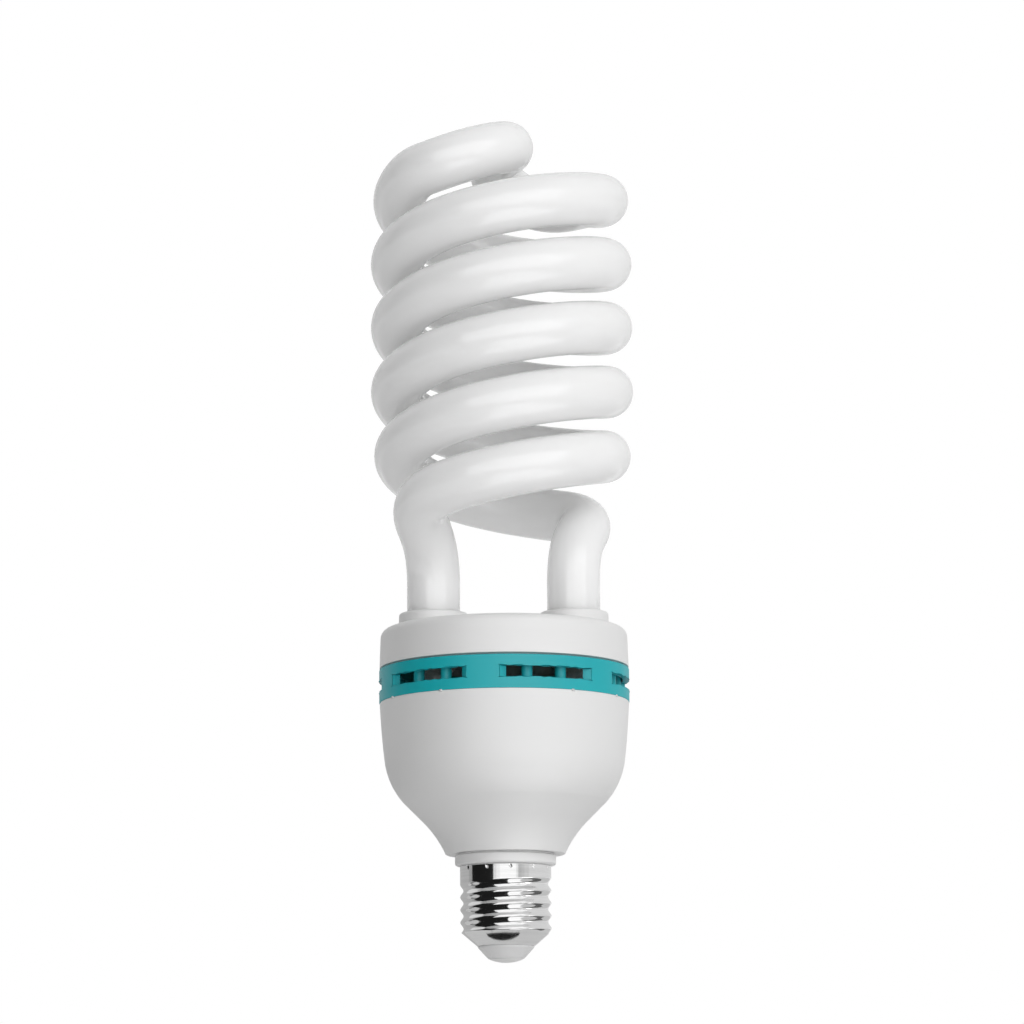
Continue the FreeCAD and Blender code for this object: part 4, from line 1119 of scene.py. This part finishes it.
@dataclass
class VentRing:
    """The teal ring with six funnel-shaped slots and a pair of posts behind each.

    A slot's chords are its widths outside and inside. The strip joins a flange to the wall, and
    reaches from the wall's inner face inwards and outwards.
    """

    low: float = 75.0
    height: float = 9.6
    radius: float = 36.4
    wall: float = 1.75
    bore: float = 30.6
    flange: float = 1.2
    spigot: float = 2.0
    slots: int = 6
    slot_height: float = 3.4
    outer_chord: float = 27.8
    inner_chord: float = 23.0
    first_slot: float = -69.4
    post_radius: float = 1.6
    post_circle: float = 32.3
    post_spread: float = 9.0
    post_inset: float = 0.5
    flange_gap: float = 0.5
    strip: Spot = (0.9, 0.5)
    strip_inset: float = 0.02
    edge: float = 0.18
    slot_columns: int = 21
    bar_columns: int = 9

    def wall_grid(self) -> tuple[Floats, Floats]:
        """Points of the ring's wall, once round its section and once round the lamp.

        Returns:
            The points, and a mask of the cells that the slots leave open.
        """
        inner = self.radius - self.wall
        half_outer = math.asin(self.outer_chord / 2 / self.radius)
        half_inner = math.asin(self.inner_chord / 2 / inner)
        sector = math.pi / self.slots
        shares = np.concatenate([np.linspace(-1, 1, self.slot_columns)[:-1],
                                 np.linspace(1, 3, self.bar_columns)[:-1]])
        outer_turn, inner_turn = [], []
        for share in shares:
            for turns, half in ((outer_turn, half_outer), (inner_turn, half_inner)):
                turns.append(share * half if share <= 1 else half + (share - 1) * (sector - half))
        middle, half_slot = self.low + self.height / 2, self.slot_height / 2
        heights = [self.low, middle - half_slot, middle + half_slot, self.low + self.height]
        section = [(self.radius, z, outer_turn) for z in heights]
        section += [(inner, z, inner_turn) for z in reversed(heights)]
        grid = []
        for radius, height, turns in section:
            angles = np.concatenate([np.array(turns) + 2 * sector * k for k in range(self.slots)])
            angles += math.radians(self.first_slot)
            grid.append(np.stack([radius * np.cos(angles), radius * np.sin(angles),
                                  np.full(len(angles), height)], axis=-1))
        in_slot = np.tile(shares < 1, self.slots)
        holes = np.zeros((len(section), len(in_slot)), bool)
        holes[1] = holes[5] = in_slot
        return np.array(grid), holes

    def add_slot_walls(self, form: Form, grid: Floats) -> None:
        """Close each slot with its four faces between the outer and the inner side.

        Args:
            form: The ring's form.
            grid: Points of the ring's wall.
        """
        columns = grid.shape[1] // self.slots
        for slot in range(self.slots):
            span = (slot * columns + np.arange(self.slot_columns)) % grid.shape[1]
            outer_low, outer_high, inner_high, inner_low = (grid[row][span] for row in (1, 2, 5, 6))
            form.surface(np.stack([inner_low, outer_low]), closed_columns=False)
            form.surface(np.stack([outer_high, inner_high]), closed_columns=False)
            for end in (0, -1):
                face = np.stack([np.stack([outer_low[end], inner_low[end]]),
                                 np.stack([outer_high[end], inner_high[end]])])
                form.surface(face if end == 0 else face[:, ::-1], closed_columns=False)

    def build(self) -> list[bpy.types.Object]:
        """Make and dress the ring.

        Returns:
            The dressed piece, in a list.
        """
        form = Form()
        grid, holes = self.wall_grid()
        form.surface(grid, closed_rows=True, holes=holes)
        self.add_slot_walls(form, grid)
        low, high, inner = self.low, self.low + self.height, self.radius - self.wall
        for start, end in ((low - self.spigot, low + self.flange),
                           (high - self.flange, high + self.spigot)):
            self.add_band(form, (self.bore, start), (inner - self.flange_gap, end))
        for start, end in ((low + self.strip_inset, low + self.flange),
                           (high - self.flange, high - self.strip_inset)):
            self.add_band(form, (inner - self.strip[0], start), (inner + self.strip[1], end))
        start, end = low + self.post_inset, high - self.post_inset
        for slot in range(self.slots):
            for side in Side:
                turn = math.radians(self.first_slot + 360 / self.slots * slot
                                    + self.post_spread * side.value)
                self.add_band(form, (0.0, start), (self.post_radius, end), segments=32,
                              x=self.post_circle * math.cos(turn),
                              y=self.post_circle * math.sin(turn))
        return [TEAL_PLASTIC.dress(form.piece("slotted_ring", "vent_ring", edge=self.edge))]

    @staticmethod
    def add_band(form: Form, low: Spot, high: Spot, segments: int = 144, x: float = 0.0,
                 y: float = 0.0) -> None:
        """Add a band or a post with a rectangular section."""
        form.turned([Corner(*low), Corner(high[0], low[1]), Corner(*high), Corner(low[0], high[1])],
                    segments, x, y)


@dataclass
class LowerHousing:
    """The white bowl with its neck, its lip and the keys that hold the ring.

    The groove under the lip and the lip's own edge are rows of an offset from the neck's or the
    lip's radius, an offset from the lip's height, and a rounding. The lip's wall is a share of the
    wall and a rounding.
    """

    shell_top: float = 27.8
    seat: float = 12.85
    spigot: float = 11.85
    spigot_bottom: float = 15.0
    bore: float = 10.35
    taper_start: float = 23.89
    neck: float = 14.6
    neck_round: float = 1.0
    lip: Spot = (17.3, 31.1)
    flare: Spot = (24.0, 40.8)
    slope: float = 5.3
    shoulder: Spot = (34.9, 58.5)
    rim: Spot = (36.25, 75.0)
    wall: float = 1.8
    flare_curve: float = 32.0
    shoulder_curve: float = 22.0
    side_curve: float = 220.0
    keys: tuple[float, ...] = (-151.5, -119.5, -57.5, -27.5, 28.5, 60.5, 122.5, 152.5)
    key_width: float = 0.9
    key_height: float = 0.2
    key_reach: float = 0.17
    key_sink: float = 0.5
    groove: tuple[Place, ...] = ((0.0, -0.5, 0.15), (-0.7, -0.35, 0.0), (-0.7, 0.3, 0.0))
    lip_edge: tuple[Place, ...] = ((-0.3, -0.05, 0.08), (0.0, 0.1, 0.12))
    lip_wall: Spot = (0.91, 0.3)
    foot_round: float = 0.3
    rim_round: float = 0.2
    floor: float = 2.4

    def build(self) -> list[bpy.types.Object]:
        """Make and dress the bowl.

        Returns:
            The dressed piece, in a list.
        """
        form = Form()
        wall, skew = self.wall, self.wall * math.sqrt(0.5)
        lip_r, lip_z = self.lip
        rim_r, rim_z = self.rim
        slope = (self.flare[0] + self.slope, self.flare[1] + self.slope)
        groove = [Corner(self.neck + out, lip_z + up, soft) for out, up, soft in self.groove]
        under, edge = ((lip_r + out, lip_z + up, soft) for out, up, soft in self.lip_edge)
        form.turned([
            Corner(self.bore, self.spigot_bottom),
            Corner(self.spigot, self.spigot_bottom, self.foot_round),
            Corner(self.spigot, self.taper_start),
            Corner(self.seat, self.taper_start + self.seat - self.spigot),
            Corner(self.seat, self.shell_top), Corner(self.neck, self.shell_top, self.neck_round),
            *groove, Corner(*under), Corner(*edge, curve=-self.flare_curve), Corner(*self.flare),
            Corner(*slope, curve=self.shoulder_curve),
            Corner(*self.shoulder, curve=self.side_curve),
            Corner(rim_r, rim_z, self.rim_round),
            Corner(rim_r - wall, rim_z, self.rim_round, curve=-(self.side_curve - wall)),
            Corner(self.shoulder[0] - wall, self.shoulder[1], curve=-(self.shoulder_curve - wall)),
            Corner(slope[0] - skew, slope[1] + skew),
            Corner(self.flare[0] - skew, self.flare[1] + skew, curve=self.flare_curve + wall),
            Corner(lip_r - wall * self.lip_wall[0], lip_z + wall, self.lip_wall[1]),
            Corner(self.bore, self.shell_top + self.floor)], segments=256)
        for turn in self.keys:
            form.block((rim_r - wall, -self.key_width / 2, rim_z - self.key_sink),
                       (rim_r + self.key_reach, self.key_width / 2, rim_z + self.key_height), turn)
        return [WHITE_PLASTIC.dress(form.piece("ballast_bowl", "lower_housing"))]


@dataclass
class ScrewCap:
    """The E27 cap: rolled shell, insulator and centre contact.

    The dimples' turn is a share of the space between two of them. The insulator's foot and its
    waist are rows of an offset from its radius or the shell's mouth, an offset from the height of
    the contact or the mouth, and a rounding. The rows of points are close together in bands, and
    the gaps are from the cone, the thread and the dimples to the bands' ends.
    """

    mouth: Spot = (8.3, 4.75)
    cone: Spot = (12.9, 8.67)
    crest: float = 13.15
    depth: float = 0.92
    pitch: float = 3.629
    start: float = 9.75
    full_turns: float = 3.05
    last_turn: float = 3.45
    top: float = 27.8
    rim: float = 0.4
    wall: float = 0.3
    dimples: int = 12
    dimple_turn: float = 0.217
    dimple_drop: float = 0.95
    dimple_size: Spot = (0.42, 0.62)
    dimple_depth: float = 0.38
    dimple_slant: float = 0.25
    dimple_curve: float = 0.7
    groove_curve: float = 0.85
    cone_blend: float = 0.5
    skirt: float = 1.2
    mouth_wall: float = 0.45
    mouth_fold: float = 0.6
    insulator: float = 5.15
    insulator_bore: float = 1.5
    insulator_foot: tuple[Place, ...] = ((0.0, 0.0, 0.12), (0.55, 0.55, 0.35))
    insulator_waist: tuple[Place, ...] = ((-0.24, -0.5, 0.3), (-0.12, -0.12, 0.1),
                                          (-0.42, 0.1, 0.0), (2.88, 3.0, 0.0))
    contact: float = 4.95
    contact_height: float = 1.15
    contact_curve: float = 12.2
    contact_edge: float = 0.1
    contact_round: float = 0.2
    shank: Spot = (1.4, 9.8)
    columns: int = 384
    thread_turns: int = 4
    row_counts: tuple[int, ...] = (8, 144, 4, 13)
    cone_gap: Spot = (0.6, 0.5)
    thread_gap: Spot = (0.3, 0.7)
    dimple_gap: Spot = (0.15, 0.06)
    rim_rows: tuple[float, ...] = (0.75, 0.5, 0.28, 0.12, 0.03, 0.0)

    def heights(self) -> Floats:
        """Heights of the shell's rows, close together on the thread and at the dimples.

        Returns:
            The heights in order.
        """
        cone, thread = self.cone[1], self.start + self.thread_turns * self.pitch
        dimple, half = self.top - self.dimple_drop, self.dimple_size[1]
        bands = ((self.mouth[1], cone - self.cone_gap[0]),
                 (cone - self.cone_gap[1], thread + self.thread_gap[0]),
                 (thread + self.thread_gap[1], dimple - half - self.dimple_gap[0]),
                 (dimple - half, dimple + half - self.dimple_gap[1]))
        rows = [np.linspace(*band, count) for band, count in zip(bands, self.row_counts)]
        return np.concatenate([*rows, self.top - self.rim * np.array(self.rim_rows)])

    def grooves(self, angle: Floats, heights: Floats) -> Floats:
        """Depth of the rolled grooves, which run out at the back of the skirt.

        Args:
            angle: Angles in turns.
            heights: Heights of the points.

        Returns:
            The depth at each point.
        """
        along = (heights - self.start) / self.pitch - angle
        turn = np.floor(along) + angle
        fade = np.clip((self.last_turn - turn) / (self.last_turn - self.full_turns), 0, 1)
        wave = 0.5 - 0.5 * np.cos(2 * math.pi * along)
        return self.depth * smooth(fade) * wave ** self.groove_curve

    def sheet(self, angle: Floats, heights: Floats) -> Floats:
        """Radius of the sheet with its cone, its thread and its rounded rim.

        Args:
            angle: Angles in turns.
            heights: Heights of the points.

        Returns:
            The radius at each point.
        """
        thread = self.crest - self.grooves(angle, heights)
        slope = (self.cone[0] - self.mouth[0]) / (self.cone[1] - self.mouth[1])
        cone = self.mouth[0] + slope * (heights - self.mouth[1])
        blend = np.clip(0.5 + (cone - thread) / self.cone_blend, 0, 1)
        body = cone + (thread - cone) * blend - self.cone_blend / 4 * blend * (1 - blend)
        up = np.clip((heights - self.top + self.rim) / self.rim, 0, 1)
        return body - self.rim * (1 - np.sqrt(np.clip(1 - up * up, 0, 1)))

    def dents(self, angle: Floats, heights: Floats) -> Floats:
        """Depth of the punched dimples.

        Args:
            angle: Angles in turns.
            heights: Heights of the points.

        Returns:
            The depth at each point.
        """
        along = angle * self.dimples - self.dimple_turn
        across = (along - np.round(along)) * 2 * math.pi * self.crest / self.dimples
        up = heights - (self.top - self.dimple_drop)
        wide, high = self.dimple_size
        leaning = across + up * self.dimple_slant
        inside = np.clip(1 - (leaning / wide) ** 2 - (up / high) ** 2, 0, 1)
        return self.dimple_depth * inside ** self.dimple_curve

    def build_shell(self) -> bpy.types.Object:
        """Make and dress the shell, a thin sheet with its thread, rims and dimples.

        Returns:
            The dressed piece.
        """
        angles, rows = np.meshgrid(np.arange(self.columns) / self.columns, self.heights())
        radius = self.sheet(angles, rows) - self.dents(angles, rows)
        form = Form()
        lip, mouth = radius[-1:] - self.wall, radius[:1] - self.mouth_wall
        form.surface(np.concatenate([
            self.rows(mouth + self.mouth_fold, angles[:1], rows[:1] + self.mouth_fold),
            self.rows(mouth, angles[:1], rows[:1]), self.rows(radius, angles, rows),
            self.rows(lip, angles[-1:], rows[-1:]),
            self.rows(lip, angles[-1:], rows[-1:] - self.skirt)]))
        return SHELL_METAL.dress(form.piece("rolled_shell", "screw_shell"))

    @staticmethod
    def rows(radius: Floats, angles: Floats, heights: Floats) -> Floats:
        """Rows of points around the axis."""
        turn = angles * 2 * math.pi
        return np.stack([radius * np.cos(turn), radius * np.sin(turn), heights], axis=-1)

    def build(self) -> list[bpy.types.Object]:
        """Make and dress the cap's three pieces.

        Returns:
            The dressed pieces.
        """
        insulator, contact = Form(), Form()
        foot = [Corner(self.insulator + out, self.contact_height + up, soft)
                for out, up, soft in self.insulator_foot]
        waist = [Corner(self.mouth[0] + out, self.mouth[1] + up, soft)
                 for out, up, soft in self.insulator_waist]
        insulator.turned([Corner(self.insulator_bore, self.contact_height), *foot, *waist,
                          Corner(self.insulator_bore, waist[-1].height)], segments=160)
        (shank, top), low = self.shank, self.contact_height - self.contact_edge
        high = self.contact_height + self.contact_edge
        contact.turned([
            Corner(0, 0, curve=self.contact_curve), Corner(self.contact, low, self.contact_round),
            Corner(self.contact, high), Corner(shank, high), Corner(shank, top), Corner(0, top)],
            segments=128)
        return [self.build_shell(),
                INSULATOR.dress(insulator.piece("glass_insulator", "base_insulator")),
                CONTACT_METAL.dress(contact.piece("contact_button", "centre_contact"))]


@dataclass
class Ballast:
    """What is inside: the frame's own solids with their finishes."""

    finishes: dict[Moulded, tuple[str, ...]] = field(default_factory=lambda: {
        CEMENT: ("tube_cement_left", "tube_cement_right"), BOARD: ("circuit_board",),
        CAN_SLEEVE: ("bulk_capacitor",), BOBBIN: ("choke_bobbin",),
        FERRITE: ("choke_core", "filter_choke_core", "drive_toroid_core"),
        COPPER: ("choke_winding", "filter_choke_winding"),
        DRIVE_COPPER: ("drive_winding_1", "drive_winding_2", "drive_winding_3"),
        FILM_COATING: ("resonance_capacitor", "dc_block_capacitor"),
        COMPOUND: ("upper_transistor", "lower_transistor", "rectifier_diode_1", "rectifier_diode_2",
                   "rectifier_diode_3", "rectifier_diode_4"),
        ENAMEL: ("fuse_resistor",), SLEEVE: ("fuse_sleeve",), LIVE: ("live_wire",),
        NEUTRAL: ("neutral_wire",),
        TINNED: ("wrap_pin_1", "wrap_pin_2", "wrap_pin_3", "wrap_pin_4", "tube_lead_1",
                 "tube_lead_2", "tube_lead_3", "tube_lead_4")})

    def build(self) -> list[bpy.types.Object]:
        """Dress every solid inside the housing.

        Returns:
            The dressed nodes.
        """
        dressed = []
        for finish, names in self.finishes.items():
            for name in names:
                finish.dress_node(name)
                dressed.append(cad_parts[name])
        return dressed


# Studio

MIDDLE = (0.0, 0.0, 130.0)

# Edges of the cards around the cap, each as a distance from the axis and a height
FOOT, BROW = (70.0, -45.0), (70.0, 70.0)
INNER_FOOT, INNER_BROW = (20.0, -45.0), (52.0, 102.0)
BAND = {"low": (69.0, 18.0), "high": (69.0, 42.0)}


def aim_at(place: Place, aim: Place) -> Quaternion:
    """Rotation of a light, card or camera that looks from one point to another."""
    return (Vector(aim) - Vector(place)).to_track_quat("-Z", "Y")


@dataclass(frozen=True)
class SoftBox:
    """A soft light that is aimed at the lamp.

    Args:
        name: Its name.
        place: Where it stands.
        size: Its width and height.
        watts: Its power.
        aim: What it points at.
    """

    name: str
    place: Place
    size: Spot
    watts: float
    aim: Place = MIDDLE

    def hang(self) -> None:
        """Put the light in the scene."""
        light = bpy.data.lights.new(self.name, "AREA")
        light.shape = "RECTANGLE"
        light.size, light.size_y = self.size[0] * MM, self.size[1] * MM
        light.energy = self.watts
        made = add_object(self.name, light)
        made.location = Vector(self.place) * MM
        made.rotation_euler = aim_at(self.place, self.aim).to_euler()
        made.visible_camera = False


@dataclass(frozen=True)
class Panel:
    """A card of any shape, which only reflections show.

    Args:
        name: Its name.
        level: How bright it is.
    """

    name: str
    level: float = field(default=0.012, kw_only=True)

    def surface(self) -> tuple[list[Vector], list[list[int]]]:
        """Points and faces of the card."""
        raise NotImplementedError

    def hang(self) -> None:
        """Put the card in the scene."""
        points, faces = self.surface()
        mesh = bpy.data.meshes.new(self.name)
        mesh.from_pydata([point * MM for point in points], [], faces)
        made = add_object(self.name, mesh)
        plain = bpy.data.materials.new(self.name)
        plain.use_nodes = True
        net = Network(plain.node_tree)
        net.tree.nodes.clear()
        glow = net.add("ShaderNodeEmission", {"Color": WHITE, "Strength": self.level})
        out = net.add("ShaderNodeOutputMaterial")
        net.send(glow.outputs[0], out.inputs[0])
        mesh.materials.append(plain)
        made.visible_camera = made.visible_diffuse = made.visible_shadow = False


@dataclass(frozen=True)
class Card(Panel):
    """A flat card.

    Args:
        place: Where its centre is.
        size: Its width and height.
        aim: What it faces.
    """

    place: Place
    size: Spot
    aim: Place

    def outline(self) -> list[Spot]:
        """Points of the card's outline from its centre, anticlockwise."""
        wide, high = self.size[0] / 2, self.size[1] / 2
        return [(-wide, -high), (wide, -high), (wide, high), (-wide, high)]

    def surface(self) -> tuple[list[Vector], list[list[int]]]:
        """Points and faces of the card.

        Returns:
            The points, and the corners of each face.
        """
        turn, centre = aim_at(self.place, self.aim), Vector(self.place)
        points = [centre + turn @ Vector((x, y, 0.0)) for x, y in self.outline()]
        return points, [list(range(len(points)))]


@dataclass(frozen=True)
class Crescent(Card):
    """A card with two bowed sides that meet in points.

    Args:
        bow: How far its points are set back.
        spin: How far it is turned in its own plane, in degrees.
        steps: Spans from its middle to a point.
    """

    bow: float
    spin: float
    steps: int = 12

    def outline(self) -> list[Spot]:
        """Points of the card's outline from its centre, anticlockwise.

        Returns:
            The points in order.
        """
        wide, high = self.size[0] / 2, self.size[1] / 2
        shares = [step / self.steps for step in range(-self.steps, self.steps + 1)]
        front = [(wide * s, -high + self.bow * s * s) for s in shares]
        front += [(wide * s, -high + self.bow * s * s + 2 * high * math.sqrt(1 - s * s))
                  for s in shares[-2:0:-1]]
        c, s = math.cos(math.radians(self.spin)), math.sin(math.radians(self.spin))
        return [(x * c - y * s, x * s + y * c) for x, y in front]


@dataclass(frozen=True)
class Sector(Panel):
    """A card that is bent around the lamp's axis.

    Args:
        turn: Angles of its two ends in degrees from the front, positive to the right.
        low: Distance from the axis and height of one edge.
        high: Distance from the axis and height of the other edge.
        step: Degrees from one of its points to the next, about.
    """

    turn: Spot
    low: Spot = FOOT
    high: Spot = BROW
    step: float = 4.0

    def surface(self) -> tuple[list[Vector], list[list[int]]]:
        """Points and faces of the card.

        Returns:
            The points, and the corners of each face.
        """
        start, sweep = self.turn[0], self.turn[1] - self.turn[0]
        count = max(2, round(sweep / self.step))
        angles = [math.radians(start + sweep * span / count) for span in range(count + 1)]
        points = [Vector((radius * math.sin(angle), -radius * math.cos(angle), height))
                  for angle in angles for radius, height in (self.low, self.high)]
        return points, [[2 * k, 2 * k + 2, 2 * k + 3, 2 * k + 1] for k in range(count)]


@dataclass
class Studio:
    """Floor, background and lights.

    The floor's fade is from and to a distance in metres. The dark side is a direction, and its
    span is how directly a ray has to point that way.
    """

    floor_height: float = -66.0
    floor_size: float = 6000.0
    floor_fade: Spot = (0.35, 1.6)
    floor_tints: tuple[Colour, Colour] = ((0.83, 0.83, 0.83), (0.79, 0.79, 0.79))
    floor_patches: float = 4.0
    floor_rough: float = 0.7
    sky: float = 0.76
    mirrored: float = 0.74
    dark_side: Place = (-0.88, -0.46, 0.0)
    dark_span: Spot = (0.4, 0.77)
    darkest: float = 0.02
    lights: tuple[SoftBox, ...] = (
        SoftBox("main_softbox", (590.0, -1160.0, 480.0), (1050.0, 1100.0), 4.1),
        SoftBox("front_strip", (-60.0, -1400.0, 330.0), (1000.0, 420.0), 2.1))
    cards: tuple[Panel, ...] = (
        Card("upper_glow", (173.0, -816.0, 467.0), (1700.0, 760.0), MIDDLE, level=2.5),
        Card("lower_glow", (150.0, -330.0, -60.0), (330.0, 540.0), (150.0, -330.0, 0.0), level=2.9),
        Crescent("cone_flag", (-1.72, -9.77, -3.0), (17.8, 2.3), (-1.72, -9.77, -90.0), 3.0, -7.5),
        Sector("dark_wall", (-86.0, -28.0)),
        Sector("dark_roof", (-86.0, -28.0), BROW, INNER_BROW),
        Sector("dark_front", (-28.0, 12.0), high=(70.0, -6.0)),
        Sector("dark_floor", (-86.0, 12.0), INNER_FOOT, FOOT),
        Sector("dark_line", (12.0, 120.0), (69.0, -42.0), (69.0, -16.0), level=0.12),
        Sector("left_line", (-110.0, -86.0), (69.0, -30.0), (69.0, -16.0), level=0.2),
        Sector("left_wall", (-180.0, -86.0), (70.0, -16.0), (70.0, 55.0), level=0.46),
        Sector("left_fade", (-97.0, -86.0), (68.5, -16.0), (68.5, 55.0), level=0.36),
        Sector("front_edge", (-28.0, -21.0), **BAND, level=0.8),
        Sector("front_fade", (-21.0, -13.0), **BAND, level=0.96),
        Sector("right_edge", (24.0, 29.0), **BAND, level=0.86),
        Sector("right_dip", (29.0, 37.0), **BAND, level=0.5),
        Sector("right_fade", (37.0, 44.0), **BAND, level=0.56),
        Sector("right_wall", (44.0, 56.0), **BAND, level=0.64),
        Sector("bright_front", (-28.0, 12.0), (70.0, -6.0), level=1.08),
        Sector("bright_wall", (12.0, 39.0), level=1.08),
        Sector("bright_brow", (39.0, 56.0), (70.0, 30.0), level=1.15),
        Sector("bright_foot", (39.0, 56.0), high=(70.0, 4.0), level=1.15),
        Sector("bright_floor", (12.0, 56.0), INNER_FOOT, FOOT, level=1.15),
        Sector("bright_roof", (-28.0, 56.0), BROW, INNER_BROW, level=1.15))

    def build(self) -> None:
        """Set up the whole studio."""
        bpy.context.scene.view_settings.view_transform = "Standard"
        for item in (*self.lights, *self.cards):
            item.hang()
        self.build_floor()
        self.build_background()

    def build_floor(self) -> None:
        """Make the pale, matt floor, which fades into the white background far away."""
        half = self.floor_size / 2 * MM
        height = self.floor_height * MM
        mesh = bpy.data.meshes.new("floor")
        mesh.from_pydata([(-half, -half, height), (half, -half, height), (half, half, height),
                          (-half, half, height)], [], [(0, 1, 2, 3)])
        floor = add_object("floor", mesh)
        pale = bpy.data.materials.new("pale_floor")
        pale.use_nodes = True
        net = Network(pale.node_tree)
        shader = net.find("BSDF_PRINCIPLED")
        shader.inputs["Roughness"].default_value = self.floor_rough
        shader.inputs["Specular IOR Level"].default_value = 0.0
        place = net.place()
        tint = net.mix(net.noise(place, self.floor_patches, detail=3.0), *self.floor_tints)
        net.send(tint, shader.inputs["Base Color"])
        distance = net.add("ShaderNodeVectorMath", {0: place}, operation="LENGTH").outputs["Value"]
        far = net.fit(distance, self.floor_fade, interpolation_type="SMOOTHSTEP")
        ray = net.add("ShaderNodeLightPath")
        seen = net.math("MAXIMUM", ray.outputs["Is Camera Ray"], ray.outputs["Is Glossy Ray"])
        white = net.add("ShaderNodeEmission", {"Color": WHITE, "Strength": 1.0})
        mix = net.add("ShaderNodeMixShader", {0: net.math("MULTIPLY", far, seen),
                                              1: shader.outputs[0], 2: white.outputs[0]})
        net.send(mix.outputs[0], net.find("OUTPUT_MATERIAL").inputs["Surface"])
        mesh.materials.append(pale)

    def build_background(self) -> None:
        """Make the world: soft light that is dim on one side, and white where it is seen."""
        world = bpy.data.worlds.new("studio")
        bpy.context.scene.world = world
        world.use_nodes = True
        net = Network(world.node_tree)
        net.tree.nodes.clear()
        way = net.add("ShaderNodeTexCoord").outputs["Generated"]
        toward = net.add("ShaderNodeVectorMath", {0: way, 1: self.dark_side},
                         operation="DOT_PRODUCT").outputs["Value"]
        fade = net.fit(toward, self.dark_span, (1.0, self.darkest), interpolation_type="SMOOTHSTEP")
        dim, mirrored = (net.math("MULTIPLY", fade, level) for level in (self.sky, self.mirrored))
        light, white, pale = (
            net.add("ShaderNodeBackground", {"Color": WHITE, "Strength": strength}).outputs[0]
            for strength in (dim, 1.0, mirrored))
        ray = net.add("ShaderNodeLightPath")
        bounced = net.math("MAXIMUM", ray.outputs["Is Glossy Ray"],
                           ray.outputs["Is Transmission Ray"])
        inner = net.add("ShaderNodeMixShader", {0: bounced, 1: light, 2: pale})
        mix = net.add("ShaderNodeMixShader", {0: ray.outputs["Is Camera Ray"], 1: inner.outputs[0],
                                              2: white})
        net.send(mix.outputs[0], net.add("ShaderNodeOutputWorld").inputs["Surface"])


@dataclass
class PhotoCamera:
    """The camera at the photograph's place: in front, a little below the lamp, looking up."""

    place: Place = (2.65, -1026.2, -53.5)
    aim: Place = (2.65, 0.0, 131.6)
    lens: float = 124.76
    sensor: float = 36.0
    roll: float = 0.45

    def build(self) -> None:
        """Set up the camera for a square picture."""
        data = bpy.data.cameras.new("photo_camera")
        data.lens = self.lens
        data.sensor_width = self.sensor
        camera = add_object("photo_camera", data)
        camera.location = Vector(self.place) * MM
        turn = Quaternion((0.0, 0.0, 1.0), -math.radians(self.roll))
        camera.rotation_euler = (aim_at(self.place, self.aim) @ turn).to_euler()
        bpy.context.scene.camera = camera


def main() -> None:
    """Build the lamp's parts in order, then the studio and the camera."""
    logging.basicConfig(level=logging.INFO, format="%(message)s")
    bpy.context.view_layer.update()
    for part in (SpiralTube(), TubeCap(), VentRing(), LowerHousing(), ScrewCap(), Ballast()):
        for piece in part.build():
            log.info("%s: %s, %d faces", type(part).__name__, piece.name, len(piece.data.polygons))
    Studio().build()
    PhotoCamera().build()


if __name__ == "__main__":
    main()
